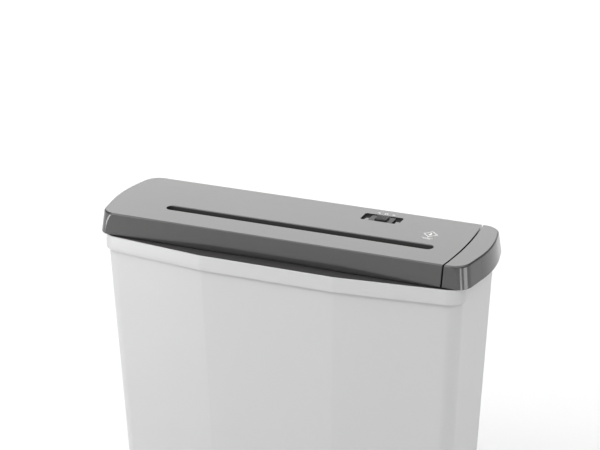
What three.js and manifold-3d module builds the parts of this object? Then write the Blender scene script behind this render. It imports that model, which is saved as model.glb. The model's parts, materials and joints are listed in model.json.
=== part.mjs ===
// Strip-cut paper shredder: a motorised cutting head that lifts off a waste bin.
// Millimetres. +X runs along the head to the right, -Y is the front, +Z is up.
// The origin is on the ground under the middle of the object.

import * as THREE from 'three';
import { mergeVertices } from 'three/addons/utils/BufferGeometryUtils.js';
import Module from 'manifold-3d';

const wasm = await Module();
wasm.setup();

// ---------------------------------------------------------------- driving dimensions

const GAP = 0.3;                      // clearance between pieces that touch

const BIN = {
  rimZ: 271.5, halfLength: 150.5, frontY: -55, backY: 55,
  bandHeight: 11.8, bandProud: 2.3, wall: 2.2, floor: 2.6, ledgeZ: 262,
  facetX: -3, facetHalf: 55.5, sideSlope: 0.115, cornerR: 14, footR: 3,
  draftFront: 0.039, draftEnd: 0.037, draftBack: 0.02, draftFacet: 0.024,
};

const HEAD = {
  lowZ: 272, topZ: 290, wall: 2.4, roof: 2.5, edgeR: 1.4,
  halfLow: 158.3, halfTop: 156.2, frontLow: -44, frontTop: -42, backLow: 52, backTop: 49,
  crown: 0.6, endPull: 6, endBulge: 2.8, bulgeY: 7, frontR: 14, backR: 14, bulgeR: 120,
};

const SEAM = {
  x: 138.4, y: 12, sagitta: 4, halfChord: 54, lean: 1.4, width: 1.3, wall: 2.4, reach: 400, above: 20,
};

const SLOT = {
  x: 5, y: -12, halfLength: 111.75, mouth: 9.6, throat: 4.4, funnelDepth: 12, wall: 2.1, lowZ: 256,
};

const TUB = {
  lowZ: 216, floor: 2.5, wall: 2.2, clearance: 2.5, flangeTop: 271, flangeGap: 0.5, footChamfer: 2,
};
const UPSTAND = {
  left: -146, right: 129.6, front: -40.8, back: 48.4, topZ: 276, wall: 2.3, r: 12, open: 2.2,
};
const EXIT = { left: -104, right: 114, front: -26, back: 6.5 };

const CUTTER = {
  z: 240, frontY: -22.5, rearY: -1.5, discR: 12, coreR: 7.5, journalR: 4,
  pitch: 12, disc: 5.6, frontDiscs: 19, rearDiscs: 18, segments: 10, endPlay: 1.5, overhang: 2.6,
};
const BUSH = { r: 6.5, bore: CUTTER.journalR + GAP, flangeR: 8, flange: 0.9, proud: 0.4 };
const COMB = { thick: 4, discGap: 0.5, coreGap: 0.6, frontSpine: 1.3, rearSpine: 2.2 };

const PLATE = {
  leftX: -113, rightX: 121, thick: 2, lowZ: 219, topZ: 268, r: 4,
  frontY: -34.5, leftRearY: 44, rightRearY: 17,
};
const TIE = {
  r: 2.5, headR: 4.2, head: 3, nut: 3, thread: 4.2,
  spots: [[-30, 224], [-30, 263], [10, 224], [12, 264]],
};
const MOTOR = { y: 29, z: 240, r: 15, left: -110.7, right: -40, shaftR: 2, tailR: 6, screwOffset: 10 };
const MOTOR_SCREW = { r: 1.5, headR: 2.6, head: 1.8, reach: 6 };
const FAN = { blades: 8, hubR: 5, tipR: 12.5, gap: 2, width: 6 };

// Gear stages from the motor to the cutters: x range, module and tooth counts.
const STAGE = {
  motor: { x0: -137.4, x1: -133.2, m: 1.1, small: 10, large: 30 },
  middle: { x0: -132.2, x1: -128, m: 1.2, small: 10, large: 24 },
  final: { x0: -127, x1: -122, m: 1.4, small: 10, large: 20 },
  sync: { x0: -121, x1: -115.6, m: 1.5, small: 14, large: 14 },
};
const AXLE = { r: 2.5, headR: 3.4, x0: -137.9, x1: -109.4, secondAngle: 78 };

const SCREW = { r: 1.6, headR: 2.8, head: 2.2, postR: 3.6, bossR: 4.3, seatZ: 254, topZ: 276 };
const HOUSING_SCREWS = [[-133, -26], [-121, 39], [-5, 38], [127.6, -12], [127.6, 32]];
const CAP_SCREWS = [[-23, 280], [21, 280]];

const SWITCH = {
  x: 60, y: 30, travel: 5, knobTop: 291.2, pocket: 2, bodyTop: 250,
  pocketHalf: [16, 7], padHalf: [18, 9], bodyHalf: [12, 5.5], baseHalf: [10, 6], knobHalf: [5, 4.5],
  stemHalf: 2, stemGap: 0.6, base: 1.2,
};
const BOARD = { x0: 18, x1: 108, y0: 15, y1: 43, z: 233, thick: 1.6, restInset: 4, restR: 2.4 };
const RELAY = { x0: 88, x1: 103, y0: 18, y1: 37, height: 16 };
const CAPACITOR = { x0: 24, x1: 42, y0: 19, y1: 28, height: 14 };
const TERMINALS = { x0: 24, x1: 42, y0: 33, y1: 41, height: 10 };
const LEVER = {
  x: 5, y: -1, z: 270, width: 5, pinR: 1.2, hubR: 3.2, pinHalf: 10.5, lugX: 8, lugHalf: [1.8, 2.6],
  arm: [
    [3, 2], [10, 1.6], [10, -0.6], [2.6, -2.6], [-6, -7],
    [-13.4, -10.2], [-13.6, -7.4], [-6, -2.4], [-2.6, 2],
  ],
};
const START_SWITCH = { x0: -2, x1: 14, y0: 2.5, y1: 12.5, z0: 276.4, z1: 285 };
const GLAND = { x: 100, z: 279, r: 5, flangeR: 6.4, bore: 3.4, inside: 3.3, flange: 1.8, taper: 0.8 };

// ---------------------------------------------------------------- finishes

const DARK_GREY = { color: 0x5d5e61, roughness: 0.42, metalness: 0 };
const LIGHT_GREY = { color: 0xc3c4c6, roughness: 0.5, metalness: 0 };
const BLACK = { color: 0x1c1c1e, roughness: 0.55, metalness: 0 };
const STEEL = { color: 0xa7a9ac, roughness: 0.35, metalness: 1 };
const HARD_STEEL = { color: 0x77797d, roughness: 0.3, metalness: 1 };
const BRONZE = { color: 0x9c7440, roughness: 0.4, metalness: 1 };
const NYLON = { color: 0xe6e2d6, roughness: 0.5, metalness: 0 };
const GREEN_BOARD = { color: 0x1f5a36, roughness: 0.5, metalness: 0 };
const BLUE = { color: 0x2a4f8f, roughness: 0.5, metalness: 0 };
const RUBBER = { color: 0x151515, roughness: 0.8, metalness: 0 };

// ---------------------------------------------------------------- geometry helpers

// Keep only shared positions and make the faces point out of the solid.
function closed(geometry) {
  const bare = new THREE.BufferGeometry();
  bare.setAttribute('position', geometry.getAttribute('position').clone());
  const count = bare.getAttribute('position').count;
  const order = geometry.index ? Array.from(geometry.index.array) : [...Array(count).keys()];
  bare.setIndex(order);
  const merged = mergeVertices(bare, 1e-4);
  const p = merged.getAttribute('position');
  const kept = [];
  const index = merged.index.array;
  let volume = 0;
  const [a, b, c] = [new THREE.Vector3(), new THREE.Vector3(), new THREE.Vector3()];
  for (let i = 0; i < index.length; i += 3) {
    const [i0, i1, i2] = [index[i], index[i + 1], index[i + 2]];
    if (i0 === i1 || i1 === i2 || i2 === i0) continue;
    kept.push(i0, i1, i2);
    a.fromBufferAttribute(p, i0);
    b.fromBufferAttribute(p, i1);
    c.fromBufferAttribute(p, i2);
    volume += a.dot(b.cross(c));
  }
  if (volume < 0) {
    for (let i = 0; i < kept.length; i += 3) [kept[i], kept[i + 1]] = [kept[i + 1], kept[i]];
  }
  merged.setIndex(kept);
  return merged;
}

function toSolid(geometry) {
  const g = closed(geometry);
  const vertProperties = new Float32Array(g.getAttribute('position').array);
  const triVerts = new Uint32Array(g.index.array);
  return new wasm.Manifold(new wasm.Mesh({ numProp: 3, vertProperties, triVerts }));
}

function toGeometry(solid) {
  const mesh = solid.getMesh();
  const g = new THREE.BufferGeometry();
  g.setAttribute('position', new THREE.BufferAttribute(new Float32Array(mesh.vertProperties), 3));
  g.setIndex(new THREE.BufferAttribute(new Uint32Array(mesh.triVerts), 1));
  return g;
}

const join = (first, ...rest) => rest.reduce((sum, g) => sum.add(toSolid(g)), toSolid(first));
const cut = (solid, ...tools) => tools.reduce((left, g) => left.subtract(toSolid(g)), solid);

// A polygon whose corners {x, y, r, steps} are rounded by arcs.
function rounded(corners) {
  const points = [];
  corners.forEach((corner, i) => {
    const at = new THREE.Vector2(corner.x, corner.y);
    if (!corner.r) {
      points.push(at);
      return;
    }
    const before = corners[(i + corners.length - 1) % corners.length];
    const after = corners[(i + 1) % corners.length];
    const u = new THREE.Vector2(before.x - at.x, before.y - at.y).normalize();
    const v = new THREE.Vector2(after.x - at.x, after.y - at.y).normalize();
    const half = Math.acos(THREE.MathUtils.clamp(u.dot(v), -1, 1)) / 2;
    const middle = u.clone().add(v).normalize().multiplyScalar(corner.r / Math.sin(half)).add(at);
    const start = u.clone().multiplyScalar(corner.r / Math.tan(half)).add(at).sub(middle).angle();
    const end = v.clone().multiplyScalar(corner.r / Math.tan(half)).add(at).sub(middle).angle();
    const sweep = THREE.MathUtils.euclideanModulo(end - start + Math.PI, 2 * Math.PI) - Math.PI;
    const steps = corner.steps ?? 5;
    for (let k = 0; k <= steps; k += 1) {
      const angle = start + (sweep * k) / steps;
      points.push(new THREE.Vector2(Math.cos(angle), Math.sin(angle)).multiplyScalar(corner.r).add(middle));
    }
  });
  return points;
}

// A solid through a stack of rings {z, outline}; all outlines have the same number of points.
function loft(rings) {
  const n = rings[0].outline.length;
  const positions = [];
  const index = [];
  for (const { z, outline } of rings) {
    for (const p of outline) positions.push(p.x, p.y, z);
  }
  for (let r = 0; r + 1 < rings.length; r += 1) {
    for (let i = 0; i < n; i += 1) {
      const [a, b] = [r * n + i, r * n + ((i + 1) % n)];
      index.push(a, b, b + n, a, b + n, a + n);
    }
  }
  const caps = [[0, true], [rings.length - 1, false]];
  for (const [ring, down] of caps) {
    for (const [a, b, c] of THREE.ShapeUtils.triangulateShape(rings[ring].outline, [])) {
      const base = ring * n;
      if (down) index.push(base + a, base + c, base + b);
      else index.push(base + a, base + b, base + c);
    }
  }
  const g = new THREE.BufferGeometry();
  g.setAttribute('position', new THREE.Float32BufferAttribute(positions, 3));
  g.setIndex(index);
  return g;
}

// Shape (x, y) becomes (Y, Z), and the extrusion runs from x0 to x1 along X.
function extrudeX(shape, x0, x1) {
  const g = new THREE.ExtrudeGeometry(shape, { depth: x1 - x0, bevelEnabled: false, curveSegments: 6 });
  const [toY, toZ, toX] = [[0, 1, 0], [0, 0, 1], [1, 0, 0]].map((v) => new THREE.Vector3(...v));
  return g.applyMatrix4(new THREE.Matrix4().makeBasis(toY, toZ, toX)).translate(x0, 0, 0);
}

function extrudeZ(shape, z0, z1) {
  const g = new THREE.ExtrudeGeometry(shape, { depth: z1 - z0, bevelEnabled: false, curveSegments: 6 });
  return g.translate(0, 0, z0);
}

// A turned piece from [radius, station] pairs, about the X, Y or Z axis.
function turned(profile, axis, segments = 12) {
  const g = new THREE.LatheGeometry(profile.map(([r, s]) => new THREE.Vector2(r, s)), segments);
  if (axis === 'Z') return g.rotateX(Math.PI / 2);
  if (axis === 'X') return g.rotateZ(-Math.PI / 2);
  return g;
}

const rod = (r, s0, s1, axis, segments = 12) => (
  turned([[0, s0], [r, s0], [r, s1], [0, s1]], axis, segments));

const tube = (bore, r, s0, s1, axis, segments = 12) => (
  turned([[bore, s0], [r, s0], [r, s1], [bore, s1], [bore, s0]], axis, segments));

function box(x0, x1, y0, y1, z0, z1) {
  return new THREE.BoxGeometry(x1 - x0, y1 - y0, z1 - z0)
    .translate((x0 + x1) / 2, (y0 + y1) / 2, (z0 + z1) / 2);
}

// A box centred on a point's x and y, with its half sizes along X and Y.
function boxAt({ x, y }, [halfX, halfY], z0, z1) {
  return box(x - halfX, x + halfX, y - halfY, y + halfY, z0, z1);
}

// ---------------------------------------------------------------- outlines

// The bin's plan at height z: three flat front panels, rounded corners, straight ends and back.
function binOutline(z, inset) {
  const drop = BIN.rimZ - z;
  const front = BIN.frontY + inset + BIN.draftFront * drop;
  const back = BIN.backY - inset - BIN.draftBack * drop;
  const end = BIN.halfLength - inset - BIN.draftEnd * drop;
  const facet = BIN.facetHalf - BIN.draftFacet * drop;
  const [left, right] = [BIN.facetX - facet, BIN.facetX + facet];
  const r = Math.max(BIN.cornerR - inset, 3);
  return rounded([
    { x: left, y: front },
    { x: right, y: front },
    { x: end, y: front + BIN.sideSlope * (end - right), r },
    { x: end, y: back, r },
    { x: -end, y: back, r },
    { x: -end, y: front + BIN.sideSlope * (left + end), r },
  ]);
}

// The head's plan at height z: a straight front with a slight crown and bulging ends.
function headOutline(z, inset) {
  const t = (z - HEAD.lowZ) / (HEAD.topZ - HEAD.lowZ);
  const half = THREE.MathUtils.lerp(HEAD.halfLow, HEAD.halfTop, t) - inset;
  const front = THREE.MathUtils.lerp(HEAD.frontLow, HEAD.frontTop, t) + inset;
  const back = THREE.MathUtils.lerp(HEAD.backLow, HEAD.backTop, t) - inset;
  const corner = half - HEAD.endPull;
  const bulge = { y: HEAD.bulgeY, r: HEAD.bulgeR, steps: 3 };
  const frontR = HEAD.frontR - inset;
  const backR = HEAD.backR - inset;
  return rounded([
    { x: -corner, y: front, r: frontR, steps: 4 },
    { x: 0, y: front - HEAD.crown },
    { x: corner, y: front, r: frontR, steps: 4 },
    { x: half + HEAD.endBulge, ...bulge },
    { x: corner, y: back, r: backR, steps: 4 },
    { x: -corner, y: back, r: backR, steps: 4 },
    { x: -half - HEAD.endBulge, ...bulge },
  ]);
}

function slotOutline(width) {
  const r = width / 2;
  const end = SLOT.halfLength;
  const corners = [[-end, -r], [end, -r], [end, r], [-end, r]];
  return rounded(corners.map(([x, y]) => ({ x: SLOT.x + x, y: SLOT.y + y, r: r * 0.98, steps: 3 })));
}

// A tool that covers everything on one side of the curved seam between cover and cap.
function seamSide(offset, side) {
  const line = (shift) => {
    const points = [];
    for (let k = 0; k <= 8; k += 1) {
      const s = (k / 4 - 1) * SEAM.halfChord;
      const bow = SEAM.sagitta * (s / SEAM.halfChord) ** 2;
      points.push(new THREE.Vector2(SEAM.x - bow + offset + shift, SEAM.y + s));
    }
    const far = side * SEAM.reach;
    points.push(new THREE.Vector2(far, SEAM.y + SEAM.halfChord));
    points.push(new THREE.Vector2(far, SEAM.y - SEAM.halfChord));
    return side > 0 ? points.reverse() : points;
  };
  return loft([
    { z: HEAD.lowZ - SEAM.above, outline: line(-SEAM.lean * 2) },
    { z: HEAD.topZ + SEAM.above, outline: line(SEAM.lean) },
  ]);
}

// ---------------------------------------------------------------- the object

const shredder = new THREE.Group();

function add(name, geometry, finish) {
  const mesh = new THREE.Mesh(closed(geometry), new THREE.MeshStandardMaterial(finish));
  mesh.name = name;
  shredder.add(mesh);
}

// ---- waste bin: one moulding with a proud band round its rim

function wasteBin() {
  const wallInset = BIN.bandProud;
  const inner = BIN.bandProud + BIN.wall;
  const bandZ = BIN.rimZ - BIN.bandHeight;
  const levels = [
    [0, wallInset + BIN.footR],
    [BIN.footR * 0.3, wallInset + BIN.footR * 0.3],
    [BIN.footR, wallInset],
    [bandZ, wallInset],
    [bandZ + 0.4, 0.4],
    [bandZ + 1.2, 0],
    [BIN.rimZ - 1.1, 0],
    [BIN.rimZ - 0.3, 0.4],
    [BIN.rimZ, 1.1],
    [BIN.rimZ - 0.5, BIN.wall],
    [BIN.ledgeZ, BIN.wall],
    [BIN.ledgeZ - 0.01, inner],
    [BIN.floor + BIN.footR, inner],
    [BIN.floor, inner + BIN.footR],
  ];
  return loft(levels.map(([z, inset]) => ({ z, outline: binOutline(z, inset) })));
}

// ---- head shell, shared by the top cover and the right end cap

function headShell(seamOffset, side) {
  const { lowZ, topZ, edgeR, wall, roof } = HEAD;
  const outer = loft([
    { z: lowZ, outline: headOutline(lowZ, 0) },
    { z: topZ - edgeR, outline: headOutline(topZ - edgeR, 0) },
    { z: topZ - edgeR * 0.4, outline: headOutline(topZ, edgeR * 0.25) },
    { z: topZ, outline: headOutline(topZ, edgeR) },
  ]);
  const hollow = loft([
    { z: lowZ - 1, outline: headOutline(lowZ - 1, wall) },
    { z: topZ - roof, outline: headOutline(topZ - roof, wall) },
  ]);
  const room = toSolid(hollow).intersect(toSolid(seamSide(seamOffset + side * SEAM.wall, side)));
  return toSolid(outer).intersect(toSolid(seamSide(seamOffset, side))).subtract(room);
}

function screwPost(x, y) {
  return rod(SCREW.postR, BIN.ledgeZ + 0.6, HEAD.topZ - 1, 'Z', 10).translate(x, y, 0);
}

// The track that the selector's stem slides in, as half sizes.
const stemTrackHalf = () => (
  [SWITCH.travel + SWITCH.stemHalf + SWITCH.stemGap, SWITCH.stemHalf + SWITCH.stemGap]);

function topCover() {
  const underside = HEAD.topZ - HEAD.roof;
  const funnelZ = HEAD.topZ - SLOT.funnelDepth;
  const duct = loft([
    { z: SLOT.lowZ, outline: slotOutline(SLOT.throat + 2 * SLOT.wall) },
    { z: funnelZ, outline: slotOutline(SLOT.throat + 2 * SLOT.wall) },
    { z: HEAD.topZ - 1, outline: slotOutline(SLOT.mouth + 2 * SLOT.wall) },
  ]);
  const mouth = loft([
    { z: SLOT.lowZ - 1, outline: slotOutline(SLOT.throat) },
    { z: funnelZ, outline: slotOutline(SLOT.throat) },
    { z: HEAD.topZ - 1.2, outline: slotOutline(SLOT.mouth - 1.2) },
    { z: HEAD.topZ + 0.1, outline: slotOutline(SLOT.mouth) },
  ]);
  const pad = boxAt(SWITCH, SWITCH.padHalf, underside - 2.5, underside + 1);
  const pocket = boxAt(SWITCH, SWITCH.pocketHalf, HEAD.topZ - SWITCH.pocket, HEAD.topZ + 1);
  const stemSlot = boxAt(SWITCH, stemTrackHalf(), underside - 4, HEAD.topZ);
  const lugs = [LEVER.x - LEVER.lugX, LEVER.x + LEVER.lugX].map((x) => (
    boxAt({ x, y: LEVER.y }, LEVER.lugHalf, LEVER.z - 3, underside + 1)));
  const leverWindow = box(
    LEVER.x - LEVER.width / 2 - 0.8, LEVER.x + LEVER.width / 2 + 0.8,
    SLOT.y - SLOT.throat / 2 - 1.4, SLOT.y + 8, SLOT.lowZ - 1, LEVER.z + 1.5);
  const pinHole = rod(LEVER.pinR + GAP, LEVER.x - 12, LEVER.x + 12, 'X', 8)
    .translate(0, LEVER.y, LEVER.z);
  const posts = HOUSING_SCREWS.map(([px, py]) => screwPost(px, py));
  const pilots = HOUSING_SCREWS.map(([px, py]) => (
    rod(SCREW.r + GAP, BIN.ledgeZ - 1, SCREW.topZ + 1, 'Z', 10).translate(px, py, 0)));
  const capHoles = CAP_SCREWS.map(([py, pz]) => (
    rod(SCREW.r + GAP, SEAM.x - 14, SEAM.x + 2, 'X', 8).translate(0, py, pz)));
  const glandHole = rod(GLAND.r + GAP, HEAD.backTop - 8, HEAD.backLow + 4, 'Y', 12)
    .translate(GLAND.x, 0, GLAND.z);
  const body = [duct, pad, ...lugs, ...posts]
    .reduce((sum, g) => sum.add(toSolid(g)), headShell(-SEAM.width / 2, -1));
  return toGeometry(cut(
    body, mouth, pocket, stemSlot, leverWindow, pinHole, ...pilots, ...capHoles, glandHole));
}

function rightEndCap() {
  const bosses = CAP_SCREWS.map(([y, z]) => (
    rod(SCREW.postR, SEAM.x - 1.5, SEAM.x + 8, 'X', 10).translate(0, y, z)));
  const shell = bosses.reduce((sum, g) => sum.add(toSolid(g)), headShell(SEAM.width / 2, 1));
  const clear = toSolid(seamSide(SEAM.width / 2, 1));
  const holes = CAP_SCREWS.map(([y, z]) => (
    rod(SCREW.r + GAP, SEAM.x - 10, SEAM.x + 6.5, 'X', 8).translate(0, y, z)));
  return toGeometry(cut(shell.intersect(clear), ...holes));
}

// ---- lower housing: the black tub that hangs in the bin and carries the works

function upstandOutline(shrink, right) {
  const { left, front, back } = UPSTAND;
  const r = UPSTAND.r - shrink;
  return rounded([
    { x: left + shrink, y: front + shrink, r },
    { x: right, y: front + shrink },
    { x: right, y: back - shrink },
    { x: left + shrink, y: back - shrink, r },
  ]);
}

function lowerHousing() {
  const outerInset = BIN.bandProud + BIN.wall + TUB.clearance;
  const innerInset = outerInset + TUB.wall;
  const flangeZ = BIN.ledgeZ + GAP;
  const ring = (z, inset) => ({ z, outline: binOutline(z, inset) });
  const tub = loft([
    ring(TUB.lowZ, outerInset + TUB.footChamfer),
    ring(TUB.lowZ + TUB.footChamfer, outerInset),
    ring(flangeZ + 1, outerInset),
  ]);
  const flange = loft([
    ring(flangeZ, BIN.wall + TUB.flangeGap),
    ring(TUB.flangeTop, BIN.wall + TUB.flangeGap),
  ]);
  const upstand = extrudeZ(new THREE.Shape(upstandOutline(0, UPSTAND.right)), flangeZ + 1, UPSTAND.topZ);
  const well = loft([
    ring(TUB.lowZ + TUB.floor, innerInset),
    ring(flangeZ, innerInset),
  ]);
  const mouthShape = new THREE.Shape(upstandOutline(UPSTAND.wall, UPSTAND.right + UPSTAND.open));
  const mouth = extrudeZ(mouthShape, flangeZ - 0.5, UPSTAND.topZ + 1);
  const exit = box(EXIT.left, EXIT.right, EXIT.front, EXIT.back, TUB.lowZ - 1, TUB.lowZ + TUB.floor + 1);
  const bosses = HOUSING_SCREWS.map(([x, y]) => (
    rod(SCREW.bossR, TUB.lowZ + 0.5, BIN.ledgeZ, 'Z', 10).translate(x, y, 0)));
  const bores = HOUSING_SCREWS.flatMap(([x, y]) => [
    rod(SCREW.headR + 0.5, TUB.lowZ - 1, SCREW.seatZ, 'Z', 10).translate(x, y, 0),
    rod(SCREW.r + GAP, TUB.lowZ, BIN.ledgeZ + 2, 'Z', 10).translate(x, y, 0),
  ]);
  const rests = boardCorners(BOARD.restInset).map(([x, y]) => (
    rod(BOARD.restR, TUB.lowZ + 1, BOARD.z - GAP, 'Z', 8).translate(x, y, 0)));
  const shell = cut(join(tub, flange, upstand), well, mouth);
  const full = [...bosses, ...rests].reduce((sum, g) => sum.add(toSolid(g)), shell);
  return toGeometry(cut(full, exit, ...bores));
}

function boardCorners(inset) {
  const xs = [BOARD.x0 + inset, BOARD.x1 - inset];
  const ys = [BOARD.y0 + inset, BOARD.y1 - inset];
  return xs.flatMap((x) => ys.map((y) => [x, y]));
}

function housingScrew(x, y) {
  const top = SCREW.seatZ - GAP;
  const low = top - SCREW.head;
  const profile = [
    [0, low], [SCREW.headR * 0.8, low], [SCREW.headR, low + 0.7], [SCREW.headR, top],
    [SCREW.r, top], [SCREW.r, SCREW.topZ - 1], [0, SCREW.topZ],
  ];
  return turned(profile, 'Z', 10).translate(x, y, 0);
}

function capScrew(y, z) {
  const bow = SEAM.sagitta * ((y - SEAM.y) / SEAM.halfChord) ** 2;
  const wallX = SEAM.x - bow - SEAM.width / 2 - SEAM.wall - SEAM.lean - 2 * GAP;
  const profile = [
    [0, wallX - SCREW.head], [SCREW.headR, wallX - SCREW.head], [SCREW.headR, wallX],
    [SCREW.r, wallX], [SCREW.r, SEAM.x + 5.5], [0, SEAM.x + 5.5],
  ];
  return turned(profile, 'X', 10).translate(0, y, z);
}

// ---- gear train

// A gear's outline with straight-flanked teeth; phase is the angle that its first tooth points along.
function gearShape(module, teeth, phase, bore) {
  const pitchR = (module * teeth) / 2;
  const tipR = pitchR + module * 0.75;
  const rootR = pitchR - module * 1.1;
  const step = (2 * Math.PI) / teeth;
  const pressure = THREE.MathUtils.degToRad(22);
  const pitchHalf = step * 0.21;
  const flank = (r) => pitchHalf - ((r - pitchR) * Math.tan(pressure)) / r;
  const shape = new THREE.Shape();
  for (let k = 0; k < teeth; k += 1) {
    const centre = phase + k * step;
    const rootHalf = Math.min(flank(rootR), step * 0.42);
    const stations = [[rootR, -rootHalf], [tipR, -flank(tipR)], [tipR, flank(tipR)], [rootR, rootHalf]];
    for (const [r, offset] of stations) {
      const [x, y] = [r * Math.cos(centre + offset), r * Math.sin(centre + offset)];
      if (k === 0 && offset === -rootHalf) shape.moveTo(x, y);
      else shape.lineTo(x, y);
    }
  }
  if (bore) shape.holes.push(new THREE.Path().absarc(0, 0, bore, 0, 2 * Math.PI, true));
  return shape;
}

// The phase that puts gear b in mesh with gear a, both given as {y, z, teeth, phase}.
function meshPhase(a, b) {
  const toB = Math.atan2(b.z - a.z, b.y - a.y);
  const toA = toB + Math.PI;
  const fraction = ((toB - a.phase) * a.teeth) / (2 * Math.PI);
  return toA - ((0.5 - fraction) * 2 * Math.PI) / b.teeth;
}

const centreDistance = (stage) => (stage.m * (stage.small + stage.large)) / 2;

// The second axle is placed from the rear cutter, and the first from the motor and the second.
function axlePlaces() {
  const angle = THREE.MathUtils.degToRad(AXLE.secondAngle);
  const d3 = centreDistance(STAGE.final);
  const second = { y: CUTTER.rearY + d3 * Math.cos(angle), z: CUTTER.z + d3 * Math.sin(angle) };
  const motor = new THREE.Vector2(MOTOR.y, MOTOR.z);
  const across = new THREE.Vector2(second.y, second.z).sub(motor);
  const [d1, d2, d] = [centreDistance(STAGE.motor), centreDistance(STAGE.middle), across.length()];
  const along = (d1 * d1 - d2 * d2 + d * d) / (2 * d);
  const off = Math.sqrt(d1 * d1 - along * along);
  const u = across.normalize();
  const first = { y: motor.x + u.x * along + u.y * off, z: motor.y + u.y * along - u.x * off };
  return { first, second };
}

const axles = axlePlaces();
const pinion = { y: MOTOR.y, z: MOTOR.z, teeth: STAGE.motor.small, phase: 0 };
const large1 = { ...axles.first, teeth: STAGE.motor.large };
large1.phase = meshPhase(pinion, large1);
const small1 = { ...axles.first, teeth: STAGE.middle.small, phase: 0 };
const large2 = { ...axles.second, teeth: STAGE.middle.large };
large2.phase = meshPhase(small1, large2);
const small2 = { ...axles.second, teeth: STAGE.final.small, phase: 0 };
const drive = { y: CUTTER.rearY, z: CUTTER.z, teeth: STAGE.final.large };
drive.phase = meshPhase(small2, drive);
const rearSync = { y: CUTTER.rearY, z: CUTTER.z, teeth: STAGE.sync.large, phase: 0 };
const frontSync = { y: CUTTER.frontY, z: CUTTER.z, teeth: STAGE.sync.small };
frontSync.phase = meshPhase(rearSync, frontSync);

function wheel(gear, stage, bore, x0 = stage.x0, x1 = stage.x1) {
  return extrudeX(gearShape(stage.m, gear.teeth, gear.phase, bore), x0, x1).translate(0, gear.y, gear.z);
}

function compoundGear(large, largeStage, small, smallStage) {
  const bore = AXLE.r + GAP;
  const solid = join(
    wheel(large, largeStage, bore),
    wheel(small, smallStage, bore, largeStage.x1 - 0.5, smallStage.x1));
  return toGeometry(solid);
}

function gearAxle({ y, z }) {
  const profile = [
    [0, AXLE.x0], [AXLE.r, AXLE.x0], [AXLE.r, PLATE.leftX + PLATE.thick + GAP],
    [AXLE.headR, PLATE.leftX + PLATE.thick + GAP], [AXLE.headR, AXLE.x1], [0, AXLE.x1],
  ];
  return turned(profile, 'X', 10).translate(0, y, z);
}

// ---- cutters, plates and stripper combs

const discPlaces = (count) => (
  [...Array(count).keys()].map((i) => SLOT.x + (i - (count - 1) / 2) * CUTTER.pitch));

function cutter(y, discs, leftEnd) {
  const coreLeft = PLATE.leftX + PLATE.thick + CUTTER.endPlay;
  const coreRight = PLATE.rightX - CUTTER.endPlay;
  const rightEnd = PLATE.rightX + CUTTER.overhang;
  const profile = [[0, leftEnd], [CUTTER.journalR, leftEnd], [CUTTER.journalR, coreLeft]];
  profile.push([CUTTER.coreR, coreLeft]);
  for (const x of discPlaces(discs)) {
    const [x0, x1] = [x - CUTTER.disc / 2, x + CUTTER.disc / 2];
    profile.push([CUTTER.coreR, x0], [CUTTER.discR, x0], [CUTTER.discR, x1], [CUTTER.coreR, x1]);
  }
  profile.push([CUTTER.coreR, coreRight], [CUTTER.journalR, coreRight]);
  profile.push([CUTTER.journalR, rightEnd], [0, rightEnd]);
  return turned(profile, 'X', CUTTER.segments).translate(0, y, CUTTER.z);
}

function sidePlate(x, rearY, axleHoles) {
  const { lowZ, topZ, frontY, r, thick } = PLATE;
  const corners = [[frontY, lowZ], [rearY, lowZ], [rearY, topZ], [frontY, topZ]];
  const outline = rounded(corners.map(([cx, cy]) => ({ x: cx, y: cy, r, steps: 3 })));
  const shape = new THREE.Shape(outline);
  const hole = (y, z, radius, sides = 12) => {
    const points = [...Array(sides).keys()].map((i) => {
      const a = (-2 * Math.PI * i) / sides;
      return new THREE.Vector2(y + radius * Math.cos(a), z + radius * Math.sin(a));
    });
    shape.holes.push(new THREE.Path(points));
  };
  for (const y of [CUTTER.frontY, CUTTER.rearY]) hole(y, CUTTER.z, BUSH.r + GAP);
  for (const [y, z] of TIE.spots) hole(y, z, TIE.r + GAP, 8);
  for (const [y, z, radius] of axleHoles) hole(y, z, radius, 8);
  return extrudeX(shape, x, x + thick);
}

// A flanged bush in a side plate, its flange on the cutters' side.
function bush(plateX, y, inward) {
  const inner = inward > 0 ? plateX + PLATE.thick : plateX;
  const outer = inward > 0 ? plateX - BUSH.proud : plateX + PLATE.thick + BUSH.proud;
  const face = inner + inward * GAP;
  const rim = face + inward * BUSH.flange;
  const profile = [
    [BUSH.bore, outer], [BUSH.r, outer], [BUSH.r, face], [BUSH.flangeR, face],
    [BUSH.flangeR, rim], [BUSH.bore, rim], [BUSH.bore, outer],
  ];
  return turned(profile, 'X', 12).translate(0, y, CUTTER.z);
}

function tieBolt(y, z) {
  const face = PLATE.leftX - GAP;
  const end = PLATE.rightX + PLATE.thick + TIE.thread;
  const profile = [
    [0, face - TIE.head], [TIE.headR, face - TIE.head], [TIE.headR, face], [TIE.r, face],
    [TIE.r, end], [0, end],
  ];
  return turned(profile, 'X', 8).translate(0, y, z);
}

function tieNut(y, z) {
  const face = PLATE.rightX + PLATE.thick + GAP;
  const bore = (TIE.r + GAP) / Math.cos(Math.PI / 6);
  return tube(bore, TIE.headR, face, face + TIE.nut, 'X', 6).translate(0, y, z);
}

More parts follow.
